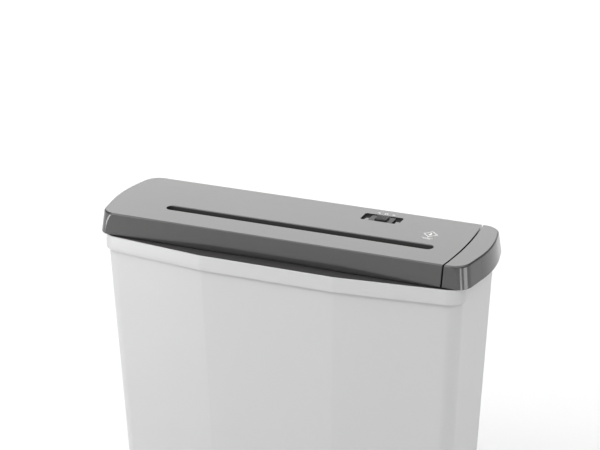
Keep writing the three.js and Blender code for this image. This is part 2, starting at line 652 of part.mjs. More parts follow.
// A comb whose fingers keep paper from wrapping round a cutter's core.
function stripperComb(spineFar, spineNear, tip, gaps) {
  const [left, right] = [PLATE.leftX + PLATE.thick + GAP, PLATE.rightX - GAP];
  const half = CUTTER.disc / 2;
  const points = [[left, spineFar], [right, spineFar], [right, spineNear]];
  for (const x of [...gaps].reverse()) {
    points.push([x + half, spineNear], [x + half, tip], [x - half, tip], [x - half, spineNear]);
  }
  points.push([left, spineNear]);
  const shape = new THREE.Shape(points.map(([x, y]) => new THREE.Vector2(x, y)));
  return extrudeZ(shape, CUTTER.z - COMB.thick / 2, CUTTER.z + COMB.thick / 2);
}

// ---- motor

function motorHousing() {
  const { left, right, r, y, z, tailR, screwOffset } = MOTOR;
  const bore = MOTOR.shaftR + 0.5;
  const can = turned([
    [bore, left], [r - 1.5, left], [r, left + 1.5], [r, right - 5], [r - 3, right - 2],
    [tailR, right - 2], [tailR, right], [bore, right], [bore, left],
  ], 'X', 16);
  const holes = [-screwOffset, screwOffset].map((dz) => (
    rod(MOTOR_SCREW.r + GAP, left - 1, left + MOTOR_SCREW.reach + 1, 'X', 8).translate(0, 0, dz)));
  return toGeometry(cut(toSolid(can), ...holes)).translate(0, y, z);
}

function motorScrew(dz) {
  const { r, headR, head, reach } = MOTOR_SCREW;
  const face = PLATE.leftX - GAP;
  const profile = [
    [0, face - head], [headR, face - head], [headR, face], [r, face],
    [r, MOTOR.left + reach], [0, MOTOR.left + reach],
  ];
  return turned(profile, 'X', 8).translate(0, MOTOR.y, MOTOR.z + dz);
}

function motorFan() {
  const { hubR, tipR } = FAN;
  const x0 = MOTOR.right + FAN.gap;
  const points = [];
  for (let k = 0; k < FAN.blades; k += 1) {
    const a = (k * 2 * Math.PI) / FAN.blades;
    const stations = [[hubR, -0.28], [tipR, -0.05], [tipR, 0.09], [hubR, 0.05]];
    for (const [r, turn] of stations) {
      points.push(new THREE.Vector2(r * Math.cos(a + turn), r * Math.sin(a + turn)));
    }
  }
  const blades = new THREE.Shape(points);
  blades.holes.push(new THREE.Path().absarc(0, 0, MOTOR.shaftR + GAP, 0, 2 * Math.PI, true));
  return extrudeX(blades, x0, x0 + FAN.width).translate(0, MOTOR.y, MOTOR.z);
}

// ---- controls

function slideSwitch() {
  const { bodyTop } = SWITCH;
  const body = boxAt(SWITCH, SWITCH.bodyHalf, BOARD.z + BOARD.thick + GAP, bodyTop);
  const track = boxAt(SWITCH, stemTrackHalf(), bodyTop - 6, bodyTop + 1);
  return toGeometry(cut(toSolid(body), track));
}

function switchSlider() {
  const { knobTop, pocket, bodyTop, base, stemHalf } = SWITCH;
  const baseZ = HEAD.topZ - pocket + GAP;
  return toGeometry(join(
    boxAt(SWITCH, SWITCH.baseHalf, baseZ, baseZ + base),
    boxAt(SWITCH, SWITCH.knobHalf, baseZ + base - 0.2, knobTop),
    boxAt(SWITCH, [stemHalf, stemHalf], bodyTop - 5, baseZ + base / 2),
  ));
}

// The lever reaches forward across the throat and back to its switch.
function startLever() {
  const { x, y, z, width, hubR, pinR } = LEVER;
  const side = new THREE.Shape(LEVER.arm.map(([a, b]) => new THREE.Vector2(a, b)));
  const arm = extrudeX(side, x - width / 2, x + width / 2);
  const hub = rod(hubR, x - width / 2, x + width / 2, 'X', 12);
  const bore = rod(pinR + GAP, x - width, x + width, 'X', 8);
  return toGeometry(cut(join(arm, hub), bore)).translate(0, y, z);
}

function cableGland() {
  const wall = HEAD.backLow + GAP;
  const [inner, outer] = [wall - GLAND.inside, wall + GLAND.flange];
  const profile = [
    [GLAND.bore, inner], [GLAND.r, inner], [GLAND.r, wall], [GLAND.flangeR, wall],
    [GLAND.flangeR - GLAND.taper, outer], [GLAND.bore, outer], [GLAND.bore, inner],
  ];
  return turned(profile, 'Y', 14).translate(GLAND.x, 0, GLAND.z);
}

// ---------------------------------------------------------------- assembly

add('waste_bin', wasteBin(), LIGHT_GREY);
add('lower_housing', lowerHousing(), BLACK);
add('top_cover', topCover(), DARK_GREY);
add('right_end_cap', rightEndCap(), DARK_GREY);
HOUSING_SCREWS.forEach(([x, y], i) => add(`housing_screw_${i + 1}`, housingScrew(x, y), STEEL));
CAP_SCREWS.forEach(([y, z], i) => add(`cap_screw_${i + 1}`, capScrew(y, z), STEEL));

const plateHoles = [
  [axles.first.y, axles.first.z, AXLE.r + GAP],
  [axles.second.y, axles.second.z, AXLE.r + GAP],
  [MOTOR.y, MOTOR.z, MOTOR.shaftR + 1],
  [MOTOR.y, MOTOR.z - MOTOR.screwOffset, MOTOR_SCREW.r + GAP],
  [MOTOR.y, MOTOR.z + MOTOR.screwOffset, MOTOR_SCREW.r + GAP],
];
add('left_side_plate', sidePlate(PLATE.leftX, PLATE.leftRearY, plateHoles), STEEL);
add('right_side_plate', sidePlate(PLATE.rightX, PLATE.rightRearY, []), STEEL);
TIE.spots.forEach(([y, z], i) => {
  add(`tie_bolt_${i + 1}`, tieBolt(y, z), STEEL);
  add(`tie_nut_${i + 1}`, tieNut(y, z), STEEL);
});
add('bush_front_left', bush(PLATE.leftX, CUTTER.frontY, 1), BRONZE);
add('bush_rear_left', bush(PLATE.leftX, CUTTER.rearY, 1), BRONZE);
add('bush_front_right', bush(PLATE.rightX, CUTTER.frontY, -1), BRONZE);
add('bush_rear_right', bush(PLATE.rightX, CUTTER.rearY, -1), BRONZE);

const combFront = CUTTER.frontY - CUTTER.discR - COMB.discGap;
const combRear = CUTTER.rearY + CUTTER.discR + COMB.discGap;
const frontTip = CUTTER.frontY - CUTTER.coreR - COMB.coreGap;
const rearTip = CUTTER.rearY + CUTTER.coreR + COMB.coreGap;
add('front_stripper_comb',
  stripperComb(combFront - COMB.frontSpine, combFront, frontTip, discPlaces(CUTTER.rearDiscs)), BLACK);
add('rear_stripper_comb',
  stripperComb(combRear + COMB.rearSpine, combRear, rearTip, discPlaces(CUTTER.frontDiscs)), BLACK);

add('front_cutter', cutter(CUTTER.frontY, CUTTER.frontDiscs, STAGE.sync.x0 - 0.6), HARD_STEEL);
add('rear_cutter', cutter(CUTTER.rearY, CUTTER.rearDiscs, STAGE.final.x0 - 0.6), HARD_STEEL);
add('front_sync_gear', wheel(frontSync, STAGE.sync, CUTTER.journalR + GAP), STEEL);
add('rear_sync_gear', wheel(rearSync, STAGE.sync, CUTTER.journalR + GAP), STEEL);
add('rear_drive_gear', wheel(drive, STAGE.final, CUTTER.journalR + GAP), STEEL);
add('first_compound_gear', compoundGear(large1, STAGE.motor, small1, STAGE.middle), NYLON);
add('second_compound_gear', compoundGear(large2, STAGE.middle, small2, STAGE.final), NYLON);
add('first_gear_axle', gearAxle(axles.first), STEEL);
add('second_gear_axle', gearAxle(axles.second), STEEL);

add('motor_housing', motorHousing(), STEEL);
add('motor_screw_low', motorScrew(-MOTOR.screwOffset), STEEL);
add('motor_screw_high', motorScrew(MOTOR.screwOffset), STEEL);
add('motor_shaft', rod(MOTOR.shaftR, STAGE.motor.x0 - 0.8, MOTOR.right + 9, 'X', 10)
  .translate(0, MOTOR.y, MOTOR.z), STEEL);
add('motor_pinion', wheel(pinion, STAGE.motor, MOTOR.shaftR + GAP), BRONZE);
add('motor_fan', motorFan(), NYLON);

const boardTop = BOARD.z + BOARD.thick + GAP;
add('control_board', box(BOARD.x0, BOARD.x1, BOARD.y0, BOARD.y1, BOARD.z, BOARD.z + BOARD.thick),
  GREEN_BOARD);
const onBoard = ({ x0, x1, y0, y1, height }) => box(x0, x1, y0, y1, boardTop, boardTop + height);
add('power_relay', onBoard(RELAY), BLACK);
add('filter_capacitor', onBoard(CAPACITOR), BLUE);
add('terminal_block', onBoard(TERMINALS), NYLON);
add('slide_switch', slideSwitch(), BLACK);
add('switch_slider', switchSlider(), BLACK);
const { x0, x1, y0, y1, z0, z1 } = START_SWITCH;
add('start_switch', box(x0, x1, y0, y1, z0, z1), BLACK);
add('start_lever', startLever(), NYLON);
add('start_lever_pin', rod(LEVER.pinR, LEVER.x - LEVER.pinHalf, LEVER.x + LEVER.pinHalf, 'X', 8)
  .translate(0, LEVER.y, LEVER.z), STEEL);
add('cable_gland', cableGland(), RUBBER);

export default shredder;
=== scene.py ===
"""Paper shredder: the looks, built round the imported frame.

Each sub-assembly is a class that holds its sizes, in metres, and makes its own
pieces.  The frame is never moved: a piece takes its place from the frame's
boxes and rides on the body it belongs to.
"""

from __future__ import annotations

import json
import logging
import math
from collections.abc import Iterable, Sequence
from dataclasses import dataclass, field
from enum import Enum
from typing import Any

import bmesh
import bpy
from mathutils import Matrix, Vector

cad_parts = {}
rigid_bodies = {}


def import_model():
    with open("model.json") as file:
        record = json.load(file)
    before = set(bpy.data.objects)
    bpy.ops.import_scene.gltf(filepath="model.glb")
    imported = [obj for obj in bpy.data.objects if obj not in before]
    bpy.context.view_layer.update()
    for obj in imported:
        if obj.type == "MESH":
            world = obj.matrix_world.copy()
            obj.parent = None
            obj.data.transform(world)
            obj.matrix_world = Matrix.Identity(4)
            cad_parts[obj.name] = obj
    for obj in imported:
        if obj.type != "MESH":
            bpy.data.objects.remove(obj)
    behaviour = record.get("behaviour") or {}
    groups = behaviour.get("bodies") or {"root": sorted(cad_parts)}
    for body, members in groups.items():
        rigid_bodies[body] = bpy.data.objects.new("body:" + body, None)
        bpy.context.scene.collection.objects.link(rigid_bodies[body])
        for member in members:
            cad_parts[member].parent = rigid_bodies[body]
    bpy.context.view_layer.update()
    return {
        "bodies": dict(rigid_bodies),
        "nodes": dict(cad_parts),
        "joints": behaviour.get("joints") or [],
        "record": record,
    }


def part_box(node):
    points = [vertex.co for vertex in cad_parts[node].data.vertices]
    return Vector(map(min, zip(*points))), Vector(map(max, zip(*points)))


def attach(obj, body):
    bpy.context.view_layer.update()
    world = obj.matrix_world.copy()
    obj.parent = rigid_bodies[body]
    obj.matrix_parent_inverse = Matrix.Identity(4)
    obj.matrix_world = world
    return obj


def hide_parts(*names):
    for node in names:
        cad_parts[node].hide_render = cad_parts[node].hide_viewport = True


LOG = logging.getLogger("shredder")
MM = 0.001
MOULDED_EDGE = 0.3 * MM
MOULDED_ANGLE = 38.0
TURNED_ANGLE = 32.0
GROUND_ANGLE = 30.0

Point = tuple[float, float]
Ring = list[Vector]
Colour = tuple[float, float, float]


class Axis(Enum):
    """The axis that a turned or extruded piece runs along."""

    X = 0
    Y = 1
    Z = 2


# ------------------------------------------------------------------ shader maths


class Signal:
    """A number inside a material; Python's operators on it add Math nodes."""

    def __init__(self, graph: "Graph", socket: bpy.types.NodeSocket) -> None:
        """Wraps one output socket of a graph's node."""
        self.graph = graph
        self.socket = socket

    def math(self, operation: str, *operands: "Signal | float") -> "Signal":
        """Adds a Math node.

        Args:
            operation: the Math node's operation.
            operands: what goes into its sockets, in order.

        Returns:
            The node's result.
        """
        inputs = dict(enumerate(operands))
        node = self.graph.node("ShaderNodeMath", {"operation": operation}, inputs)
        return Signal(self.graph, node.outputs[0])

    def __add__(self, other: "Signal | float") -> "Signal":
        """Sum."""
        return self.math("ADD", self, other)

    __radd__ = __add__

    def __sub__(self, other: "Signal | float") -> "Signal":
        """Difference."""
        return self.math("SUBTRACT", self, other)

    def __rsub__(self, other: "Signal | float") -> "Signal":
        """Difference from a number on the left."""
        return self.math("SUBTRACT", other, self)

    def __mul__(self, other: "Signal | float") -> "Signal":
        """Product."""
        return self.math("MULTIPLY", self, other)

    __rmul__ = __mul__

    def __truediv__(self, other: "Signal | float") -> "Signal":
        """Quotient."""
        return self.math("DIVIDE", self, other)

    def clamped(self) -> "Signal":
        """The value held between 0 and 1."""
        return self.math("MINIMUM", self.math("MAXIMUM", self, 0.0), 1.0)

    def above(self, edge: float, softness: float) -> "Signal":
        """A mask that rises from 0 to 1 over softness, starting at edge."""
        return ((self - edge) / softness).clamped()


class Graph:
    """One material and its node tree."""

    MIX_LOW = 6
    MIX_HIGH = 7
    MIX_RESULT = 2

    def __init__(self, name: str) -> None:
        """Makes an empty material with a Principled shader and an output."""
        self.material = bpy.data.materials.new(name)
        self.material.use_nodes = True
        self.tree = self.material.node_tree
        self.tree.nodes.clear()
        self.shader = self.node("ShaderNodeBsdfPrincipled")
        self.node("ShaderNodeOutputMaterial", {}, {"Surface": self.shader.outputs[0]})

    def node(
        self,
        kind: str,
        settings: dict[str, Any] | None = None,
        inputs: dict[str | int, Any] | None = None,
    ) -> bpy.types.Node:
        """Makes any node.

        Args:
            kind: the node's type name.
            settings: its properties, set before its sockets.
            inputs: socket name or number to a value, a socket or a Signal.

        Returns:
            The node.
        """
        made = self.tree.nodes.new(kind)
        for key, value in (settings or {}).items():
            setattr(made, key, value)
        for key, value in (inputs or {}).items():
            self.feed(made.inputs[key], value)
        return made

    def feed(self, socket: bpy.types.NodeSocket, value: Any) -> None:
        """Links or sets one input socket.

        Args:
            socket: the input.
            value: a Signal, an output socket, a number or a colour.
        """
        if isinstance(value, Signal):
            self.tree.links.new(value.socket, socket)
        elif isinstance(value, bpy.types.NodeSocket):
            self.tree.links.new(value, socket)
        elif isinstance(value, tuple) and len(value) == 3 and socket.type == "RGBA":
            socket.default_value = (*value, 1.0)
        else:
            socket.default_value = value

    def place(self) -> bpy.types.NodeSocket:
        """The point's own position on its object, in metres."""
        return self.node("ShaderNodeTexCoord").outputs["Object"]

    def stretched(self, scale: Sequence[float], turn: Sequence[float] = (0, 0, 0)) -> bpy.types.NodeSocket:
        """The position scaled, and turned, along each axis."""
        inputs = {"Vector": self.place(), "Scale": tuple(scale), "Rotation": tuple(turn)}
        return self.node("ShaderNodeMapping", {}, inputs).outputs[0]

    def noise(self, scale: float, detail: float = 2.0, where: Any = None) -> Signal:
        """Smooth noise from 0 to 1.

        Args:
            scale: features per metre.
            detail: octaves.
            where: the coordinates; the object's own by default.

        Returns:
            The noise value.
        """
        inputs = {"Vector": where or self.place(), "Scale": scale, "Detail": detail}
        return Signal(self, self.node("ShaderNodeTexNoise", {}, inputs).outputs[0])

    def cells(self, scale: float) -> Signal:
        """Distance to the nearest cell centre, for fine spark-eroded grain."""
        inputs = {"Vector": self.place(), "Scale": scale}
        return Signal(self, self.node("ShaderNodeTexVoronoi", {}, inputs).outputs[0])

    def blend(self, mask: Signal | float, low: Any, high: Any) -> bpy.types.NodeSocket:
        """Mixes two colours, low where the mask is 0 and high where it is 1."""
        inputs = {0: mask, self.MIX_LOW: low, self.MIX_HIGH: high}
        return self.node("ShaderNodeMix", {"data_type": "RGBA"}, inputs).outputs[self.MIX_RESULT]

    def bump(self, height: Signal, strength: float, distance: float) -> bpy.types.NodeSocket:
        """A normal bent by a height, with the height's real size in metres."""
        inputs = {"Strength": strength, "Distance": distance, "Height": height}
        return self.node("ShaderNodeBump", {}, inputs).outputs[0]

    def surface(self, **inputs: Any) -> bpy.types.Material:
        """Feeds the Principled shader; underscores in names stand for spaces."""
        for key, value in inputs.items():
            self.feed(self.shader.inputs[key.replace("_", " ")], value)
        return self.material


def scaled(colour: Colour, factor: float) -> Colour:
    """A colour made lighter or darker."""
    return tuple(min(1.0, c * factor) for c in colour)


# ------------------------------------------------------------------ finishes


@dataclass(frozen=True)
class Plastic:
    """A moulded plastic with fine grain, slight shade variation and handling marks."""

    name: str
    colour: Colour
    roughness: float = 0.42
    variation: float = 0.05
    grain: float = 1800.0
    grain_depth: float = 0.00003
    grain_strength: float = 0.25
    specular: float = 0.5
    scuffs: float = 0.06

    def material(self) -> bpy.types.Material:
        """Builds the material."""
        graph = Graph(self.name)
        shade = graph.noise(14.0, 3.0)
        fleck = graph.noise(900.0, 2.0)
        mask = (shade * 0.7 + fleck * 0.3).clamped()
        light = scaled(self.colour, 1 + self.variation)
        dark = scaled(self.colour, 1 - self.variation)
        rubbed = graph.noise(1.0, 6.0, graph.stretched((55, 210, 130), (0.3, 0.2, 0.5)))
        marks = rubbed.above(0.6, 0.1) * graph.noise(25.0, 1.0).above(0.5, 0.2)
        height = graph.cells(self.grain) * 0.6 + graph.noise(self.grain * 0.6, 2.0) * 0.4
        return graph.surface(
            Base_Color=graph.blend(mask, dark, light),
            Roughness=(self.roughness + (shade - 0.5) * 0.08 + marks * self.scuffs).clamped(),
            Specular_IOR_Level=self.specular,
            Normal=graph.bump(height, self.grain_strength, self.grain_depth),
        )


@dataclass(frozen=True)
class Metal:
    """A metal whose surface is drawn, ground or plated along one direction."""

    name: str
    colour: Colour
    roughness: float = 0.32
    stretch: tuple[float, float, float] = (30.0, 900.0, 900.0)
    line_depth: float = 0.00001
    stain: Colour = (0.20, 0.19, 0.18)
    stain_amount: float = 0.12

    def material(self) -> bpy.types.Material:
        """Builds the material."""
        graph = Graph(self.name)
        lines = graph.noise(1.0, 3.0, graph.stretched(self.stretch))
        cloud = graph.noise(60.0, 4.0)
        spots = cloud.above(0.55, 0.25) * self.stain_amount
        metal = graph.blend(lines, scaled(self.colour, 0.9), scaled(self.colour, 1.08))
        return graph.surface(
            Base_Color=graph.blend(spots, metal, self.stain),
            Metallic=1.0 - spots * 0.5,
            Roughness=(self.roughness + (lines - 0.5) * 0.12 + spots).clamped(),
            Normal=graph.bump(lines, 0.35, self.line_depth),
        )


@dataclass(frozen=True)
class CircuitBoard:
    """A lacquered board with copper tracks under the lacquer."""

    name: str = "circuit_board_lacquer"
    lacquer: Colour = (0.012, 0.13, 0.05)
    track: Colour = (0.03, 0.24, 0.09)

    def material(self) -> bpy.types.Material:
        """Builds the material."""
        graph = Graph(self.name)
        inputs = {"Vector": graph.stretched((1, 1, 0.001)), "Scale": 160.0}
        cells = graph.node("ShaderNodeTexVoronoi", {"distance": "CHEBYCHEV"}, inputs)
        edges = Signal(graph, cells.outputs[0])
        tracks = edges.above(0.52, 0.04)
        return graph.surface(
            Base_Color=graph.blend(tracks, self.lacquer, self.track),
            Roughness=0.32 + graph.noise(300.0) * 0.12,
            Normal=graph.bump(tracks, 0.4, 0.00004),
        )


class Finish(Enum):
    """Every finish on the shredder."""

    BIN = Plastic("light_grey_bin_plastic", (0.505, 0.505, 0.507), 0.36, 0.018, 2400.0, 0.00002, 0.18)
    HEAD = Plastic("dark_grey_head_plastic", (0.050, 0.049, 0.0487), 0.15, 0.05, 2600.0, 0.00001, 0.12, 0.7)
    HOUSING = Plastic("black_housing_plastic", (0.055, 0.053, 0.053), 0.36, 0.15, 1500.0)
    KNOB = Plastic("black_knob_plastic", (0.014, 0.014, 0.015), 0.42, 0.1, 2600.0)
    NYLON = Plastic("natural_nylon", (0.74, 0.71, 0.62), 0.38, 0.04, 1200.0)
    COMPONENT = Plastic("black_component_case", (0.02, 0.02, 0.021), 0.36, 0.1, 3000.0)
    CAPACITOR = Plastic("blue_capacitor_case", (0.03, 0.09, 0.32), 0.3, 0.08, 2000.0)
    RESISTOR = Plastic("beige_resistor_body", (0.52, 0.36, 0.20), 0.34, 0.10, 2600.0)
    RUBBER = Plastic("black_rubber", (0.014, 0.014, 0.014), 0.72, 0.15, 1400.0, 0.00006, 0.4)
    PRINT = Plastic("white_pad_print", (0.80, 0.80, 0.79), 0.5, 0.03, 3000.0)
    STEEL = Metal("zinc_plated_steel", (0.60, 0.61, 0.63))
    CUTTER = Metal(
        "hardened_cutter_steel", (0.30, 0.305, 0.32), 0.28, (900.0, 60.0, 60.0),
        stain=(0.05, 0.04, 0.03), stain_amount=0.35,
    )
    BRONZE = Metal("sintered_bronze", (0.52, 0.34, 0.15), 0.42, (500.0, 500.0, 500.0))
    BOARD = CircuitBoard()

    def make(self) -> bpy.types.Material:
        """The finish's material, built once."""
        found = bpy.data.materials.get(self.value.name)
        return found or self.value.material()


# ------------------------------------------------------------------ mesh tools


@dataclass(frozen=True)
class Corner:
    """A corner of an outline, rounded by an arc of the given radius."""

    x: float
    y: float
    radius: float = 0.0
    steps: int = 10


def rounded(corners: Sequence[Corner]) -> list[Point]:
    """Rounds the corners of a polygon.

    Args:
        corners: the polygon, anticlockwise.

    Returns:
        Its points, with an arc in place of each rounded corner.
    """
    points: list[Point] = []
    for i, corner in enumerate(corners):
        here = Vector((corner.x, corner.y))
        if corner.radius <= 0:
            points.append((here.x, here.y))
            continue
        before = corners[i - 1]
        after = corners[(i + 1) % len(corners)]
        u = (Vector((before.x, before.y)) - here).normalized()
        v = (Vector((after.x, after.y)) - here).normalized()
        half = u.angle(v) / 2
        centre = here + (u + v).normalized() * corner.radius / math.sin(half)
        first = here + u * corner.radius / math.tan(half) - centre
        last = here + v * corner.radius / math.tan(half) - centre
        start = math.atan2(first.y, first.x)
        sweep = math.remainder(math.atan2(last.y, last.x) - start, math.tau)
        for k in range(corner.steps + 1):
            angle = start + sweep * k / corner.steps
            points.append(
                (centre.x + corner.radius * math.cos(angle), centre.y + corner.radius * math.sin(angle))
            )
    return points


def level(outline: Iterable[Point], z: float) -> Ring:
    """An outline laid flat at height z."""
    return [Vector((x, y, z)) for x, y in outline]


def along(axis: Axis, outline: Iterable[Point], station: float, centre: Vector) -> Ring:
    """An outline square to an axis.

    Args:
        axis: the axis it faces along.
        outline: the points, in the next two axes in X, Y, Z order.
        station: where it stands along the axis.
        centre: added to every point.

    Returns:
        The ring.
    """
    a = axis.value
    ring = []
    for p, q in outline:
        point = Vector((0, 0, 0))
        point[a] = station
        point[(a + 1) % 3] = p
        point[(a + 2) % 3] = q
        ring.append(point + centre)
    return ring


def circle(radius: float, segments: int) -> list[Point]:
    """A circle's points."""
    turns = [math.tau * k / segments for k in range(segments)]
    return [(radius * math.cos(t), radius * math.sin(t)) for t in turns]


def new_piece(name: str, mesh: bpy.types.Mesh) -> bpy.types.Object:
    """Links a mesh into the scene as an object at the origin."""
    piece = bpy.data.objects.new(name, mesh)
    bpy.context.scene.collection.objects.link(piece)
    return piece


def loft(name: str, rings: Sequence[Ring], wrap: bool = False) -> bpy.types.Object:
    """Skins a stack of rings that all have the same number of points.

    Args:
        name: the piece's name.
        rings: the rings, in order.
        wrap: joins the last ring to the first in place of capping both ends.

    Returns:
        The piece.
    """
    work = bmesh.new()
    rows = [[work.verts.new(p) for p in ring] for ring in rings]
    pairs = list(zip(rows, rows[1:]))
    if wrap:
        pairs.append((rows[-1], rows[0]))
    for low, high in pairs:
        for i in range(len(low)):
            j = (i + 1) % len(low)
            work.faces.new((low[i], low[j], high[j], high[i]))
    if not wrap:
        work.faces.new(list(reversed(rows[0])))
        work.faces.new(rows[-1])
    bmesh.ops.recalc_face_normals(work, faces=work.faces)
    mesh = bpy.data.meshes.new(name)
    work.to_mesh(mesh)
    work.free()
    return new_piece(name, mesh)


def turned(
    name: str,
    profile: Sequence[Point],
    axis: Axis,
    centre: Vector,
    segments: int = 40,
    wrap: bool = False,
) -> bpy.types.Object:
    """A lathe-turned piece.

    Args:
        name: the piece's name.
        profile: (radius, station) pairs.
        axis: the turning axis.
        centre: a point on the axis, at station 0.
        segments: facets round the axis.
        wrap: closes the profile on itself, for a tube or bush.

    Returns:
        The piece.
    """
    rings = [along(axis, circle(r, segments), s, centre) for r, s in profile]
    return loft(name, rings, wrap)


def block(name: str, low: Sequence[float], high: Sequence[float], radius: float = 0.0) -> bpy.types.Object:
    """A box, with its upright edges rounded if a radius is given."""
    (x0, y0, z0), (x1, y1, z1) = low, high
    corners = [Corner(x, y, radius, 6) for x, y in ((x0, y0), (x1, y0), (x1, y1), (x0, y1))]
    outline = rounded(corners)
    return loft(name, [level(outline, z0), level(outline, z1)])


def pillar(
    name: str, at: Point, half: Point, z0: float, z1: float, radius: float = 0.0
) -> bpy.types.Object:
    """A box round an upright middle line.

    Args:
        name: the piece's name.
        at: the line's place in X and Y.
        half: the box's reach from it in X and Y.
        z0: the underside.
        z1: the top.
        radius: rounds the upright edges.

    Returns:
        The piece.
    """
    (x, y), (a, b) = at, half
    return block(name, (x - a, y - b, z0), (x + a, y + b, z1), radius)


def plan_middle(low: Vector, high: Vector) -> Point:
    """The middle of a box, seen from above."""
    return (low.x + high.x) / 2, (low.y + high.y) / 2


def on_axis(low: Vector, high: Vector, x: float = 0.0) -> Vector:
    """The point at x on a box's middle line along X."""
    return Vector((x, (low.y + high.y) / 2, (low.z + high.z) / 2))


def bake_shape(piece: bpy.types.Object) -> None:
    """Applies a piece's modifiers to its mesh."""
    shown = piece.evaluated_get(bpy.context.evaluated_depsgraph_get())
    mesh = bpy.data.meshes.new_from_object(shown)
    piece.modifiers.clear()
    old = piece.data
    piece.data = mesh
    bpy.data.meshes.remove(old)


def shape(piece: bpy.types.Object, operation: str, tools: Sequence[bpy.types.Object]) -> bpy.types.Object:
    """Joins, cuts or keeps with other solids, which are used up.

    Args:
        piece: the solid that is changed.
        operation: UNION, DIFFERENCE or INTERSECT.
        tools: the other solids.

    Returns:
        The piece.
    """
    for tool in tools:
        change = piece.modifiers.new(operation.lower(), "BOOLEAN")
        change.operation = operation
        change.solver = "EXACT"
        change.object = tool
    bake_shape(piece)
    for tool in tools:
        mesh = tool.data
        bpy.data.objects.remove(tool)
        bpy.data.meshes.remove(mesh)
    return piece


def tidy(piece: bpy.types.Object, flat: float = 0.3, near: float = 0.02 * MM) -> None:
    """Merges doubled points and flat splinters that cutting leaves.

    Args:
        piece: the solid to clean.
        flat: faces within this many degrees become one.
        near: points within this distance become one.
    """
    work = bmesh.new()
    work.from_mesh(piece.data)
    bmesh.ops.remove_doubles(work, verts=work.verts, dist=near)
    bmesh.ops.dissolve_limit(
        work, angle_limit=math.radians(flat), verts=work.verts, edges=work.edges
    )
    work.to_mesh(piece.data)
    work.free()


def soften(piece: bpy.types.Object, width: float, segments: int = 2, angle: float = 35.0) -> None:
    """Rounds a piece's sharp edges and shades the rest smooth.

    Args:
        piece: any mesh object, a CAD node included.
        width: the rounding's width in metres; 0 leaves the edges sharp.
        segments: facets across the rounding.
        angle: edges sharper than this many degrees are rounded.
    """
    mesh = piece.data
    mesh.polygons.foreach_set("use_smooth", [True] * len(mesh.polygons))
    if width > 0:
        edge = piece.modifiers.new("edges", "BEVEL")
        edge.width = width
        edge.segments = segments
        edge.limit_method = "ANGLE"
        edge.angle_limit = math.radians(angle)
        edge.harden_normals = False
        edge.use_clamp_overlap = True
    else:
        mesh.set_sharp_from_angle(angle=math.radians(angle))
    normals = piece.modifiers.new("normals", "WEIGHTED_NORMAL")
    normals.keep_sharp = True


def dress(
    piece: bpy.types.Object,
    finish: Finish,
    body: str,
    nodes: Sequence[str] = (),
) -> bpy.types.Object:
    """Gives a new piece its finish, its body and the CAD nodes it stands for.

    Args:
        piece: the piece, in place.
        finish: its material.
        body: the CAD body it rides on.
        nodes: the CAD nodes it replaces.

    Returns:
        The piece.
    """
    piece.data.materials.clear()
    piece.data.materials.append(finish.make())
    if nodes:
        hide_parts(*nodes)
    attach(piece, body)
    LOG.info("%s on %s", piece.name, body)
    return piece


# ------------------------------------------------------------------ waste bin


